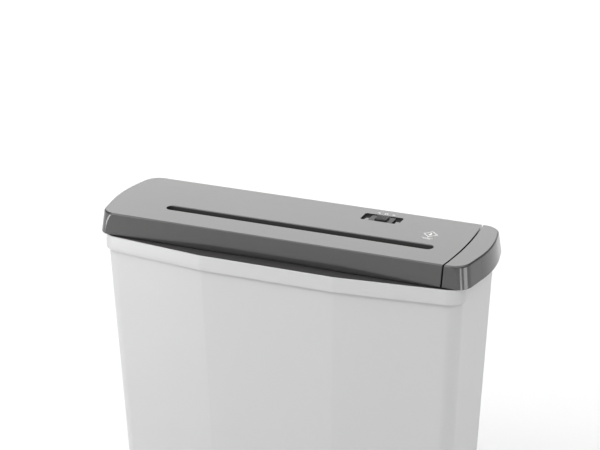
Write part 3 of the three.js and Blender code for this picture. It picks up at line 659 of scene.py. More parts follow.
@dataclass
class WasteBin:
    """One light-grey moulding: faceted front, tapered walls and a proud band at the rim."""

    band_height: float = 11.8 * MM
    band_proud: float = 2.3 * MM
    wall: float = 2.2 * MM
    floor: float = 2.6 * MM
    ledge_drop: float = 9.5 * MM
    facet_x: float = -3.0 * MM
    facet_half: float = 55.5 * MM
    facet_radius: float = 5.0 * MM
    side_slope: float = 0.115
    corner_radius: float = 14.0 * MM
    foot_radius: float = 3.0 * MM
    draft_front: float = 0.039
    draft_end: float = 0.037
    draft_back: float = 0.02
    draft_facet: float = 0.024
    lean_in: float = 0.9 * MM
    groove_height: float = 3.4 * MM
    groove_depth: float = 0.9 * MM
    foot_steps: int = 5
    lip_steps: int = 8
    low: Vector = field(init=False)
    high: Vector = field(init=False)

    def __post_init__(self) -> None:
        """Takes the bin's box from the frame."""
        self.low, self.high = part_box("waste_bin")

    def outline(self, z: float, inset: float) -> list[Point]:
        """The bin's plan.

        Args:
            z: height.
            inset: distance inside the band's outer face.

        Returns:
            The plan's points.
        """
        drop = self.high.z - z
        front = self.low.y + inset + self.draft_front * drop
        back = self.high.y - inset - self.draft_back * drop
        end = self.high.x - inset - self.draft_end * drop
        facet = self.facet_half - self.draft_facet * drop
        left, right = self.facet_x - facet, self.facet_x + facet
        radius = max(self.corner_radius - inset, 3 * MM)
        bend = self.facet_radius
        return rounded(
            [
                Corner(left, front, bend * 4, 4),
                Corner(right, front, bend * 4, 4),
                Corner(end, front + self.side_slope * (end - right), radius),
                Corner(end, back, radius),
                Corner(-end, back, radius),
                Corner(-end, front + self.side_slope * (left + end), radius),
            ]
        )

    def levels(self) -> list[tuple[float, float]]:
        """The wall's section as (height, inset) pairs, from under the foot to the inside floor."""
        rim = self.high.z
        wall = self.band_proud
        inner = self.band_proud + self.wall
        band = rim - self.band_height
        foot = self.foot_radius
        steps = self.foot_steps
        section = [(1.6 * MM, wall + foot + 9 * MM), (1.6 * MM, wall + foot + 6 * MM)]
        section.append((0.0, wall + foot + 4.4 * MM))
        for k in range(steps + 1):
            turn = math.radians(90 * k / steps)
            section.append((foot - foot * math.cos(turn), wall + foot - foot * math.sin(turn)))
        deep = wall + self.groove_depth
        section += [(0.3 * rim, wall), (0.6 * rim, wall), (band - self.groove_height, wall)]
        section.append((band - 0.6 * self.groove_height, wall + 0.8 * self.groove_depth))
        section.append((band - 0.8 * MM, deep))
        section += [(band, deep - 0.3 * MM), (band, 0.75 * MM), (band + 0.12 * MM, 0.3 * MM)]
        section += [(band + 0.6 * MM, 0.0), (band + 3 * MM, 0.05 * MM), (band + 7 * MM, 0.35 * MM)]
        lip = self.wall / 2
        for k in range(self.lip_steps + 1):
            share = k / self.lip_steps
            turn = math.radians(180 * share)
            inset = lip - lip * math.cos(turn) + self.lean_in * (1 - share)
            section.append((rim - lip + lip * math.sin(turn), inset))
        ledge = rim - self.ledge_drop
        section += [(ledge + 0.5 * MM, self.wall), (ledge + 0.1 * MM, self.wall + 0.4 * MM)]
        section += [(ledge, inner - 0.4 * MM), (ledge - 0.4 * MM, inner)]
        section += [(0.5 * rim, inner)]
        for k in range(steps + 1):
            turn = math.radians(90 * k / steps)
            z = self.floor + foot - foot * math.sin(turn)
            section.append((z, inner + foot - foot * math.cos(turn)))
        return section

    def build(self) -> None:
        """Makes the bin."""
        rings = [level(self.outline(z, inset), z) for z, inset in self.levels()]
        piece = loft("bin_moulding", rings)
        soften(piece, 0.0, angle=40.0)
        dress(piece, Finish.BIN, "bin", ["waste_bin"])


# ------------------------------------------------------------------ head shell


@dataclass
class HeadShell:
    """The dark-grey top cover and the separate right end cap, parted by a curved seam."""

    wall: float = 2.4 * MM
    roof: float = 2.5 * MM
    edge: float = 1.5 * MM
    lip: float = 0.5 * MM
    flare_end: float = 2.1 * MM
    flare_front: float = 2.0 * MM
    flare_back: float = 3.0 * MM
    front_low: float = -44.0 * MM
    back_low: float = 52.0 * MM
    half_low: float = 158.3 * MM
    crown: float = 0.6 * MM
    end_pull: float = 6.0 * MM
    end_bulge: float = 2.8 * MM
    bulge_y: float = 7.0 * MM
    front_radius: float = 14.0 * MM
    back_radius: float = 14.0 * MM
    bulge_radius: float = 120.0 * MM
    seam_x: float = 138.4 * MM
    seam_y: float = 12.0 * MM
    seam_bow: float = 4.0 * MM
    seam_half: float = 54.0 * MM
    seam_lean: float = 1.4 * MM
    seam_width: float = 1.3 * MM
    slot_x: float = 5.0 * MM
    slot_y: float = -12.0 * MM
    slot_half: float = 111.75 * MM
    slot_mouth: float = 9.6 * MM
    slot_throat: float = 4.4 * MM
    funnel: float = 12.0 * MM
    slot_wall: float = 2.1 * MM
    slot_low: float = 256.0 * MM
    post_radius: float = 3.6 * MM
    post_low: float = 262.6 * MM
    pilot: float = 1.9 * MM
    pilot_low: float = 261.0 * MM
    pad_half: Point = (18.0 * MM, 9.0 * MM)
    pocket_half: Point = (16.0 * MM, 7.0 * MM)
    stem_half: Point = (7.6 * MM, 2.6 * MM)
    lug_half: Point = (1.8 * MM, 2.6 * MM)
    lug_step: float = 8.0 * MM
    pin_bore: float = 1.5 * MM
    lead_bore: float = 5.3 * MM
    low: float = field(init=False)
    top: float = field(init=False)

    def __post_init__(self) -> None:
        """Takes the shell's heights from the end cap's box."""
        cap_low, cap_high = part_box("right_end_cap")
        self.low, self.top = cap_low.z, cap_high.z

    def outline(self, z: float, inset: float) -> list[Point]:
        """The head's plan.

        Args:
            z: height.
            inset: distance inside the outer face.

        Returns:
            The plan's points.
        """
        rise = (z - self.low) / (self.top - self.low)
        half = self.half_low - self.flare_end * rise - inset
        front = self.front_low + self.flare_front * rise + inset
        back = self.back_low - self.flare_back * rise - inset
        corner = half - self.end_pull
        mid_x = half + self.end_bulge
        front_r, back_r = self.front_radius - inset, self.back_radius - inset
        return rounded(
            [
                Corner(-corner, front, front_r, 12),
                Corner(0, front - self.crown, 9.0, 8),
                Corner(corner, front, front_r, 12),
                Corner(mid_x, self.bulge_y, self.bulge_radius, 10),
                Corner(corner, back, back_r, 10),
                Corner(-corner, back, back_r, 10),
                Corner(-mid_x, self.bulge_y, self.bulge_radius, 10),
            ]
        )

    def solid(self, name: str) -> bpy.types.Object:
        """The outer form of the whole head, with its rounded edges."""
        rings = []
        for k in range(4):
            turn = math.radians(90 * k / 3)
            z = self.low + self.lip * (1 - math.sin(turn))
            rings.append(level(self.outline(z, self.lip * (1 - math.cos(turn))), z))
        rings.reverse()
        for k in range(7):
            turn = math.radians(90 * k / 6)
            z = self.top - self.edge * (1 - math.sin(turn))
            rings.append(level(self.outline(z, self.edge * (1 - math.cos(turn))), z))
        return loft(name, rings)

    def hollow(self) -> bpy.types.Object:
        """The space inside the head."""
        z0, z1 = self.low - 2 * MM, self.top - self.roof
        rings = [level(self.outline(z, self.wall), z) for z in (z0, z1 - 1.5 * MM)]
        rings.append(level(self.outline(z1, self.wall + 1.2 * MM), z1))
        return loft("hollow", rings)

    def side(self, offset: float, sign: int) -> bpy.types.Object:
        """A tool that covers one side of the seam.

        Args:
            offset: distance of its edge from the seam's middle.
            sign: 1 for the cap's side and -1 for the cover's.

        Returns:
            The tool.
        """
        rings = []
        for z, lean in ((self.low - 20 * MM, -2 * self.seam_lean), (self.top + 20 * MM, self.seam_lean)):
            points = []
            for k in range(25):
                s = (k / 12 - 1) * self.seam_half
                bow = self.seam_bow * (s / self.seam_half) ** 2
                points.append((self.seam_x - bow + offset + lean, self.seam_y + s))
            far = sign * 400 * MM
            points += [(far, self.seam_y + self.seam_half), (far, self.seam_y - self.seam_half)]
            rings.append(level(points, z))
        return loft("seam_side", rings)

    def stadium(self, width: float) -> list[Point]:
        """The slot's plan at a given width."""
        r = width / 2
        points = []
        for k in range(33):
            side = 1 if k <= 16 else -1
            turn = math.radians(-90 + 180 * (k % 17) / 16 + (0 if side > 0 else 180))
            x = self.slot_x + side * (self.slot_half - r) + r * math.cos(turn)
            points.append((x, self.slot_y + r * math.sin(turn)))
        return points

    def half(self, name: str, sign: int) -> bpy.types.Object:
        """The shell on one side of the seam."""
        shell = self.solid(name)
        shape(shell, "INTERSECT", [self.side(sign * self.seam_width / 2, sign)])
        room = self.hollow()
        shape(room, "INTERSECT", [self.side(sign * (self.seam_width / 2 + self.wall), sign)])
        return shape(shell, "DIFFERENCE", [room])

    def slot_tool(self) -> bpy.types.Object:
        """The feed slot's mouth, funnel and throat, with a rolled lip."""
        z_funnel = self.top - self.funnel
        roll = 0.9 * MM
        section = [(self.slot_low - 1 * MM, self.slot_throat), (z_funnel, self.slot_throat)]
        section.append((z_funnel + 0.75 * MM, self.slot_throat + 0.25 * MM))
        section.append((self.top - 2.2 * MM, self.slot_mouth - 1.5 * MM))
        for k in range(6):
            turn = math.radians(90 * k / 5)
            widen = 2 * roll * (1 - math.cos(turn))
            section.append((self.top - roll * (1 - math.sin(turn)), self.slot_mouth - 1.1 * MM + widen))
        section.append((self.top + 0.5 * MM, self.slot_mouth - 1.1 * MM + 2 * roll))
        return loft("slot_tool", [level(self.stadium(w), z) for z, w in section])

    def duct(self) -> bpy.types.Object:
        """The wall round the funnel and throat."""
        wide = 2 * self.slot_wall
        z_funnel = self.top - self.funnel
        section = [(self.slot_low, self.slot_throat + wide), (z_funnel, self.slot_throat + wide)]
        section.append((self.top - 1 * MM, self.slot_mouth + wide))
        return loft("duct", [level(self.stadium(w), z) for z, w in section])

    def rod(self, radius: float, x: float, y: float, z0: float, z1: float) -> bpy.types.Object:
        """An upright round bar or drill."""
        return turned("rod", [(radius, z0), (radius, z1)], Axis.Z, Vector((x, y, 0)), 24)

    def cover(self) -> None:
        """Makes the top cover with its slot, selector pocket, posts and lead hole."""
        selector = plan_middle(*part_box("switch_slider"))
        under = self.top - self.roof
        lever_low, lever_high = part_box("start_lever")
        pin_low, pin_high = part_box("start_lever_pin")
        pin = (pin_low + pin_high) / 2
        posts, drills = [], []
        for n in range(1, 6):
            low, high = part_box(f"housing_screw_{n}")
            x, y = plan_middle(low, high)
            posts.append(self.rod(self.post_radius, x, y, self.post_low, self.top - 1 * MM))
            drills.append(self.rod(self.pilot, x, y, self.pilot_low, high.z + 1 * MM))
        pad = pillar("pad", selector, self.pad_half, under - 2.5 * MM, under + 1 * MM)
        lugs = [
            pillar(
                "lug", (pin.x + side * self.lug_step, pin.y), self.lug_half, pin.z - 3 * MM, under + 1 * MM
            )
            for side in (-1, 1)
        ]
        piece = self.half("head_cover", -1)
        shape(piece, "UNION", [self.duct(), pad, *lugs, *posts])
        pocket = pillar(
            "pocket", selector, self.pocket_half, self.top - 2 * MM, self.top + 1 * MM, 2 * MM
        )
        stem = pillar("stem", selector, self.stem_half, under - 4 * MM, self.top, 1 * MM)
        window = block(
            "window",
            (lever_low.x - 0.8 * MM, self.slot_y - 3.6 * MM, self.slot_low - 1 * MM),
            (lever_high.x + 0.8 * MM, self.slot_y + 8 * MM, pin.z + 1.5 * MM),
        )
        bore = self.pin_bore
        pin_hole = turned("pin_hole", [(bore, -12 * MM), (bore, 12 * MM)], Axis.X, pin, 20)
        gland_low, gland_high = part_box("cable_gland")
        gland = (gland_low + gland_high) / 2
        bore = self.lead_bore
        lead = turned("lead", [(bore, -12 * MM), (bore, 6 * MM)], Axis.Y, gland, 32)
        cap_drills = []
        for n in (1, 2):
            centre = on_axis(*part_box(f"cap_screw_{n}"), self.seam_x)
            profile = [(self.pilot, -14 * MM), (self.pilot, 2 * MM)]
            cap_drills.append(turned("cap_drill", profile, Axis.X, centre, 20))
        tools = [self.slot_tool(), pocket, stem, window, pin_hole, lead, *drills, *cap_drills]
        shape(piece, "DIFFERENCE", tools)
        tidy(piece)
        soften(piece, MOULDED_EDGE, 2, MOULDED_ANGLE)
        dress(piece, Finish.HEAD, "head", ["top_cover"])

    def cap(self) -> None:
        """Makes the right end cap with its screw bosses."""
        piece = self.half("head_end_cap", 1)
        bosses, drills = [], []
        for n in (1, 2):
            centre = on_axis(*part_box(f"cap_screw_{n}"), self.seam_x)
            boss = [(self.post_radius, 1.5 * MM), (self.post_radius, 8 * MM)]
            bosses.append(turned("boss", boss, Axis.X, centre, 24))
            drill = [(self.pilot, -10 * MM), (self.pilot, 6.5 * MM)]
            drills.append(turned("drill", drill, Axis.X, centre, 20))
        shape(piece, "UNION", bosses)
        shape(piece, "DIFFERENCE", drills)
        tidy(piece)
        soften(piece, MOULDED_EDGE, 2, MOULDED_ANGLE)
        dress(piece, Finish.HEAD, "head", ["right_end_cap"])

    def build(self) -> None:
        """Makes both mouldings."""
        self.cover()
        self.cap()


# ------------------------------------------------------------------ lower housing


@dataclass
class LowerHousing:
    """The black tub that hangs in the bin and carries the works."""

    bin: WasteBin
    clearance: float = 2.5 * MM
    wall: float = 2.2 * MM
    floor: float = 2.5 * MM
    flange_top: float = 271.0 * MM
    flange_gap: float = 0.5 * MM
    flange_low: float = 262.3 * MM
    upstand_left: float = -146.0 * MM
    upstand_right: float = 129.6 * MM
    upstand_front: float = -40.8 * MM
    upstand_back: float = 48.4 * MM
    upstand_wall: float = 2.3 * MM
    upstand_radius: float = 12.0 * MM
    exit_low: Point = (-104.0 * MM, -26.0 * MM)
    exit_high: Point = (114.0 * MM, 6.5 * MM)
    boss_radius: float = 4.3 * MM
    boss_top: float = 262.0 * MM
    drill_radius: float = 1.9 * MM
    drill_top: float = 264.0 * MM
    recess_radius: float = 3.3 * MM
    rest_radius: float = 2.4 * MM
    rest_inset: float = 4.0 * MM
    rib_half: float = 0.8 * MM
    rib_depth: float = 2.6 * MM
    rib_places: tuple[int, ...] = (-90, -45, 45, 90)

    def ring(self, z: float, inset: float) -> Ring:
        """The bin's plan at a height, further in."""
        return level(self.bin.outline(z, inset), z)

    def upstand(self, name: str, shrink: float, right: float, z0: float, z1: float) -> bpy.types.Object:
        """The wall that stands up inside the cover, or the space inside it."""
        r = self.upstand_radius - shrink
        left = self.upstand_left + shrink
        front, back = self.upstand_front + shrink, self.upstand_back - shrink
        outline = rounded(
            [Corner(left, front, r), Corner(right, front), Corner(right, back), Corner(left, back, r)]
        )
        return loft(name, [level(outline, z0), level(outline, z1)])

    def build(self) -> None:
        """Makes the housing."""
        low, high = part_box("lower_housing")
        outer = self.bin.band_proud + self.bin.wall + self.clearance
        inner = outer + self.wall
        foot = 2 * MM
        rings = []
        for k in range(5):
            turn = math.radians(90 * k / 4)
            z = low.z + foot * (1 - math.cos(turn))
            rings.append(self.ring(z, outer + foot * (1 - math.sin(turn))))
        rings.append(self.ring(self.flange_low + 1 * MM, outer))
        piece = loft("housing_tub", rings)
        flange = loft(
            "flange",
            [self.ring(z, self.bin.wall + self.flange_gap) for z in (self.flange_low, self.flange_top)],
        )
        right = self.upstand_right
        stand = self.upstand("stand", 0.0, right, self.flange_low + 1 * MM, high.z)
        ribs = [self.rib(x, low.z) for x in self.rib_places]
        shape(piece, "UNION", [flange, stand, *ribs])
        well = loft("well", [self.ring(z, inner) for z in (low.z + self.floor, self.flange_low)])
        mouth = self.upstand(
            "mouth", self.upstand_wall, right + 2.2 * MM, self.flange_low - 0.5 * MM, high.z + 1 * MM
        )
        shape(piece, "DIFFERENCE", [well, mouth])
        bosses, drills = [], []
        for n in range(1, 6):
            screw_low, screw_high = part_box(f"housing_screw_{n}")
            at = Vector((*plan_middle(screw_low, screw_high), 0))
            boss = [(self.boss_radius, low.z + 0.5 * MM), (self.boss_radius, self.boss_top)]
            bosses.append(turned("boss", boss, Axis.Z, at, 24))
            seat = screw_low.z + 2.5 * MM
            recess = [(self.recess_radius, low.z - 1 * MM), (self.recess_radius, seat)]
            drills.append(turned("recess", recess, Axis.Z, at, 24))
            drill = [(self.drill_radius, low.z), (self.drill_radius, self.drill_top)]
            drills.append(turned("drill", drill, Axis.Z, at, 20))
        board_low, board_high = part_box("control_board")
        inset = self.rest_inset
        profile = [(self.rest_radius, low.z + 1 * MM), (self.rest_radius, board_low.z - 0.3 * MM)]
        for x in (board_low.x + inset, board_high.x - inset):
            for y in (board_low.y + inset, board_high.y - inset):
                bosses.append(turned("rest", profile, Axis.Z, Vector((x, y, 0)), 20))
        shape(piece, "UNION", bosses)
        chute = block(
            "chute",
            (*self.exit_low, low.z - 1 * MM),
            (*self.exit_high, low.z + self.floor + 1 * MM),
            4 * MM,
        )
        shape(piece, "DIFFERENCE", [chute, *drills])
        tidy(piece)
        soften(piece, MOULDED_EDGE, 2, MOULDED_ANGLE)
        dress(piece, Finish.HOUSING, "head", ["lower_housing"])

    def rib(self, x_mm: float, low: float) -> bpy.types.Object:
        """A stiffening rib on the tub's front wall."""
        x = x_mm * MM
        z0, z1 = low + 6 * MM, self.flange_low + 1 * MM
        inset = self.bin.band_proud + self.bin.wall + self.clearance - 1.1 * MM
        rings = []
        for z in (z0, z1):
            front = self.bin.low.y + inset + self.bin.draft_front * (self.bin.high.z - z)
            facet = self.bin.facet_half - self.bin.draft_facet * (self.bin.high.z - z)
            beyond = max(0.0, abs(x - self.bin.facet_x) - facet)
            front += self.bin.side_slope * beyond
            left, right, back = x - self.rib_half, x + self.rib_half, front + self.rib_depth
            corners = ((left, front), (right, front), (right, back), (left, back))
            rings.append(level(corners, z))
        return loft("rib", rings)


# ------------------------------------------------------------------ cutters and bearings


@dataclass
class CutterShaft:
    """A hardened shaft with notched discs; its place comes from its CAD node."""

    node: str
    body: str
    discs: int
    disc_radius: float = 12.0 * MM
    core_radius: float = 7.5 * MM
    journal_radius: float = 4.0 * MM
    pitch: float = 12.0 * MM
    disc_width: float = 5.6 * MM
    notch: float = 0.35 * MM
    teeth: int = 24
    middle_x: float = 5.0 * MM
    core_left: float = -109.5 * MM
    core_right: float = 119.5 * MM
    chamfer: float = 0.4 * MM
    disc_edge: float = 0.25 * MM

    def ring(self, radius: float, x: float, centre: Vector, notched: bool) -> Ring:
        """A circle, notched where it lies on a disc's rim."""
        points = []
        count = self.teeth * 4
        for k in range(count):
            turn = math.tau * k / count
            dip = self.notch if notched and k % 4 == 0 else 0.0
            r = radius - dip
            points.append((r * math.cos(turn), r * math.sin(turn)))
        return along(Axis.X, points, x, centre)

    def build(self) -> None:
        """Makes the shaft."""
        low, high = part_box(self.node)
        centre = on_axis(low, high)
        chamfer, edge = self.chamfer, self.disc_edge
        journal, core, disc = self.journal_radius, self.core_radius, self.disc_radius
        stations = [(journal - chamfer, low.x, False), (journal, low.x + chamfer, False)]
        stations += [(journal, self.core_left, False), (core, self.core_left, False)]
        for i in range(self.discs):
            x = self.middle_x + (i - (self.discs - 1) / 2) * self.pitch
            x0, x1 = x - self.disc_width / 2, x + self.disc_width / 2
            stations += [(core, x0, False), (disc - edge, x0, True), (disc, x0 + edge, True)]
            stations += [(disc, x1 - edge, True), (disc - edge, x1, True), (core, x1, False)]
        stations += [(core, self.core_right, False), (journal, self.core_right, False)]
        stations += [(journal, high.x - chamfer, False), (journal - chamfer, high.x, False)]
        rings = [self.ring(r, x, centre, notched) for r, x, notched in stations]
        piece = loft(self.node + "_ground", rings)
        soften(piece, 0.0, angle=GROUND_ANGLE)
        dress(piece, Finish.CUTTER, self.body, [self.node])


@dataclass
class Bearings:
    """Flanged bushes that carry the cutter shafts in the side plates."""

    bore: float = 4.15 * MM
    radius: float = 6.5 * MM

    def build(self) -> None:
        """Makes the four bushes."""
        for end in ("left", "right"):
            for row in ("front", "rear"):
                self.bush(f"bush_{row}_{end}", 1 if end == "left" else -1)

    def bush(self, node: str, inward: int) -> None:
        """Makes one bush; inward is 1 where its flange is on its right."""
        low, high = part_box(node)
        centre = on_axis(low, high)
        outer, inner = (low.x, high.x) if inward > 0 else (high.x, low.x)
        face = inner - inward * 0.9 * MM
        flange = (high.z - low.z) / 2
        edge = inward * 0.2 * MM
        profile = [
            (self.bore + 0.2 * MM, outer), (self.radius - 0.2 * MM, outer), (self.radius, outer + edge),
            (self.radius, face), (flange - 0.2 * MM, face), (flange, face + edge),
            (flange, inner - edge), (flange - 0.2 * MM, inner), (self.bore + 0.2 * MM, inner),
            (self.bore, inner - edge), (self.bore, outer + edge),
        ]
        piece = turned(node + "_turned", profile, Axis.X, centre, 40, wrap=True)
        soften(piece, 0.0, angle=GROUND_ANGLE)
        dress(piece, Finish.BRONZE, "head", [node])


# ------------------------------------------------------------------ fasteners


@dataclass
class Fasteners:
    """Screws, tie bolts, nuts, pins and axles."""

    shank: float = 1.6 * MM
    tie_radius: float = 2.5 * MM
    tie_flats: float = 3.6 * MM
    tie_head: float = 3.0 * MM
    tie_thread: float = 9.0 * MM
    tie_turns: int = 18
    hex_edge: float = 0.3 * MM
    hex_rise: float = 0.35 * MM
    screw_head: Point = (2.8 * MM, 2.2 * MM)
    motor_screw_head: Point = (2.6 * MM, 1.8 * MM)
    housing_screw_length: float = 22.3 * MM

    def screw(self, name: str, head_radius: float, head: float, length: float) -> bpy.types.Mesh:
        """A pan-head screw with a cross recess, its head below the origin and its shank up +Z.

        Args:
            name: the mesh's name.
            head_radius: the head's radius.
            head: the head's height.
            length: the shank's length.

        Returns:
            The mesh.
        """
        profile = [(head_radius * 0.55, -head), (head_radius * 0.86, -head * 0.82)]
        profile += [(head_radius, -head * 0.4), (head_radius, -0.1 * MM), (head_radius - 0.1 * MM, 0)]
        profile.append((self.shank * 0.86, 0.02 * MM))
        turns = int(length / (0.8 * MM))
        for k in range(1, turns):
            z = length * k / turns
            profile.append((self.shank if k % 2 else self.shank * 0.86, z))
        profile.append((0.3 * MM, length))
        piece = turned(name, profile, Axis.Z, Vector((0, 0, 0)), 28)
        arm, half = head_radius * 0.55, 0.32 * MM
        depth = -head * 0.5
        bars = [
            block("bar", (-arm, -half, -head - 1 * MM), (arm, half, depth)),
            block("bar", (-half, -arm, -head - 1 * MM), (half, arm, depth)),
        ]
        shape(piece, "DIFFERENCE", bars)
        mesh = piece.data
        mesh.name = name
        bpy.data.objects.remove(piece)
        return mesh

    def place(self, node: str, mesh: bpy.types.Mesh, at: Vector, turn: Matrix, body: str = "head") -> None:
        """Puts a copy of a fastener where its CAD node is."""
        piece = new_piece(node + "_made", mesh.copy())
        piece.data.transform(Matrix.Translation(at) @ turn)
        soften(piece, 0.0, angle=TURNED_ANGLE)
        dress(piece, Finish.STEEL, body, [node])

    def hex_ring(self, across: float, x: float, centre: Vector) -> Ring:
        """A hexagon square to X, with six points on each side so that it meets a circle."""
        points = []
        for k in range(36):
            turn = math.tau * k / 36
            local = (turn + math.pi / 6) % (math.pi / 3) - math.pi / 6
            r = across / math.cos(local)
            points.append((r * math.cos(turn), r * math.sin(turn)))
        return along(Axis.X, points, x, centre)

    def round_ring(self, radius: float, x: float, centre: Vector) -> Ring:
        """A circle square to X, with as many points as a hexagon's ring."""
        return along(Axis.X, circle(radius, 36), x, centre)

    def tie(self, number: int) -> None:
        """Makes one tie bolt and its nut."""
        node, nut = f"tie_bolt_{number}", f"tie_nut_{number}"
        low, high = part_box(node)
        nut_low, nut_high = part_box(nut)
        centre = on_axis(low, high)
        flats, edge, rise = self.tie_flats, self.hex_edge, self.hex_rise
        head_end = low.x + self.tie_head
        thread = high.x - self.tie_thread
        rings = [
            self.round_ring(flats - edge, low.x, centre),
            self.hex_ring(flats, low.x + rise, centre),
            self.hex_ring(flats, head_end, centre),
            self.round_ring(self.tie_radius, head_end, centre),
            self.round_ring(self.tie_radius, thread, centre),
        ]
        for k in range(1, self.tie_turns):
            r = self.tie_radius * (0.88 if k % 2 else 0.99)
            rings.append(self.round_ring(r, thread + (high.x - thread) * k / self.tie_turns, centre))
        rings.append(self.round_ring(self.tie_radius * 0.8, high.x, centre))
        piece = loft(node + "_made", rings)
        soften(piece, 0.0, angle=TURNED_ANGLE)
        dress(piece, Finish.STEEL, "head", [node])
        bore = self.tie_radius + 0.1 * MM
        rings = [
            self.round_ring(flats - edge, nut_low.x, centre),
            self.hex_ring(flats, nut_low.x + rise, centre),
            self.hex_ring(flats, nut_high.x - rise, centre),
            self.round_ring(flats - edge, nut_high.x, centre),
            self.round_ring(bore, nut_high.x, centre),
            self.round_ring(bore, nut_low.x, centre),
        ]
        piece = loft(nut + "_made", rings, wrap=True)
        soften(piece, 0.0, angle=TURNED_ANGLE)
        dress(piece, Finish.STEEL, "head", [nut])

    def pin(self, node: str, radius: float, head_radius: float = 0.0, body: str = "head") -> None:
        """Makes a plain or headed pin along X in place of its node."""
        low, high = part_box(node)
        centre = on_axis(low, high)
        edge = 0.25 * MM
        profile = [(radius - edge, low.x), (radius, low.x + edge)]
        if head_radius:
            face = high.x - 1.3 * MM
            profile += [(radius, face), (head_radius, face), (head_radius, high.x - edge)]
            profile.append((head_radius - edge, high.x))
        else:
            profile += [(radius, high.x - edge), (radius - edge, high.x)]
        piece = turned(node + "_turned", profile, Axis.X, centre, 32)
        soften(piece, 0.0, angle=TURNED_ANGLE)
        dress(piece, Finish.STEEL, body, [node])

    def build(self) -> None:
        """Makes every fastener."""
        upright = Matrix.Identity(4)
        to_right = Matrix.Rotation(math.radians(90), 4, "Y")
        radius, head = self.screw_head
        form = self.screw("housing_screw_form", radius, head, self.housing_screw_length)
        for n in range(1, 6):
            node = f"housing_screw_{n}"
            low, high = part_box(node)
            self.place(node, form, Vector((*plan_middle(low, high), low.z + head)), upright)
        sideways = [(f"cap_screw_{n}", "cap_screw_form", self.screw_head) for n in (1, 2)]
        sideways += [
            (f"motor_screw_{n}", "motor_screw_form", self.motor_screw_head) for n in ("low", "high")
        ]
        for node, form_name, (radius, head) in sideways:
            low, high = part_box(node)
            form = self.screw(form_name, radius, head, high.x - low.x - head)
            self.place(node, form, on_axis(low, high, low.x + head), to_right)
        for n in range(1, 5):
            self.tie(n)
        self.pin("first_gear_axle", 2.5 * MM, 3.4 * MM)
        self.pin("second_gear_axle", 2.5 * MM, 3.4 * MM)
        self.pin("start_lever_pin", 1.2 * MM)
        self.pin("motor_shaft", 2.0 * MM, body="motor_rotor")


# ------------------------------------------------------------------ motor


@dataclass
class Motor:
    """A round motor with a vented can and a small cooling fan on its tail."""

    radius: float = 15.0 * MM
    vents: int = 8
    vent_half_mm: float = 2.2
    vent_inner_mm: float = 13.2
    vent_outer_mm: float = 17.0
    tap_radius: float = 1.75 * MM

    def build(self) -> None:
        """Makes the can."""
        low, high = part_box("motor_housing")
        centre = on_axis(low, high)
        x0, x1 = low.x, high.x
        bore, r = 2.4 * MM, self.radius
        profile = [(bore, x0), (r - 1.6 * MM, x0), (r - 0.5 * MM, x0 + 0.3 * MM), (r, x0 + 1.4 * MM)]
        for seam in (x0 + 12 * MM, x1 - 16 * MM):
            profile += [(r, seam), (r - 0.35 * MM, seam + 0.15 * MM), (r - 0.35 * MM, seam + 0.7 * MM)]
            profile.append((r, seam + 0.85 * MM))
        profile += [(r, x1 - 5 * MM), (r - 1 * MM, x1 - 3 * MM), (r - 3 * MM, x1 - 2 * MM)]
        profile += [(6.2 * MM, x1 - 2 * MM), (6 * MM, x1 - 0.2 * MM), (5.8 * MM, x1), (bore, x1)]
        piece = turned("motor_can", profile, Axis.X, centre, 56, wrap=True)
        tools = []
        half, near, far = self.vent_half_mm, self.vent_inner_mm, self.vent_outer_mm
        ends = [(-half, near), (half, near), (half, far), (-half, far)]
        for k in range(self.vents):
            turn = math.tau * (k + 0.5) / self.vents
            away = Vector((0, math.cos(turn), math.sin(turn)))
            side = Vector((0, -math.sin(turn), math.cos(turn)))
            rings = []
            for x in (x1 - 12 * MM, x1 - 6.5 * MM):
                at = centre + Vector((x, 0, 0))
                rings.append([at + side * a * MM + away * b * MM for a, b in ends])
            tools.append(loft("vent", rings))
        for node in ("motor_screw_low", "motor_screw_high"):
            tap = [(self.tap_radius, -1 * MM), (self.tap_radius, 7 * MM)]
            tools.append(turned("tap", tap, Axis.X, on_axis(*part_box(node), x0), 20))
        shape(piece, "DIFFERENCE", tools)
        soften(piece, 0.0, angle=TURNED_ANGLE)
        dress(piece, Finish.STEEL, "head", ["motor_housing"])


# ------------------------------------------------------------------ electronics


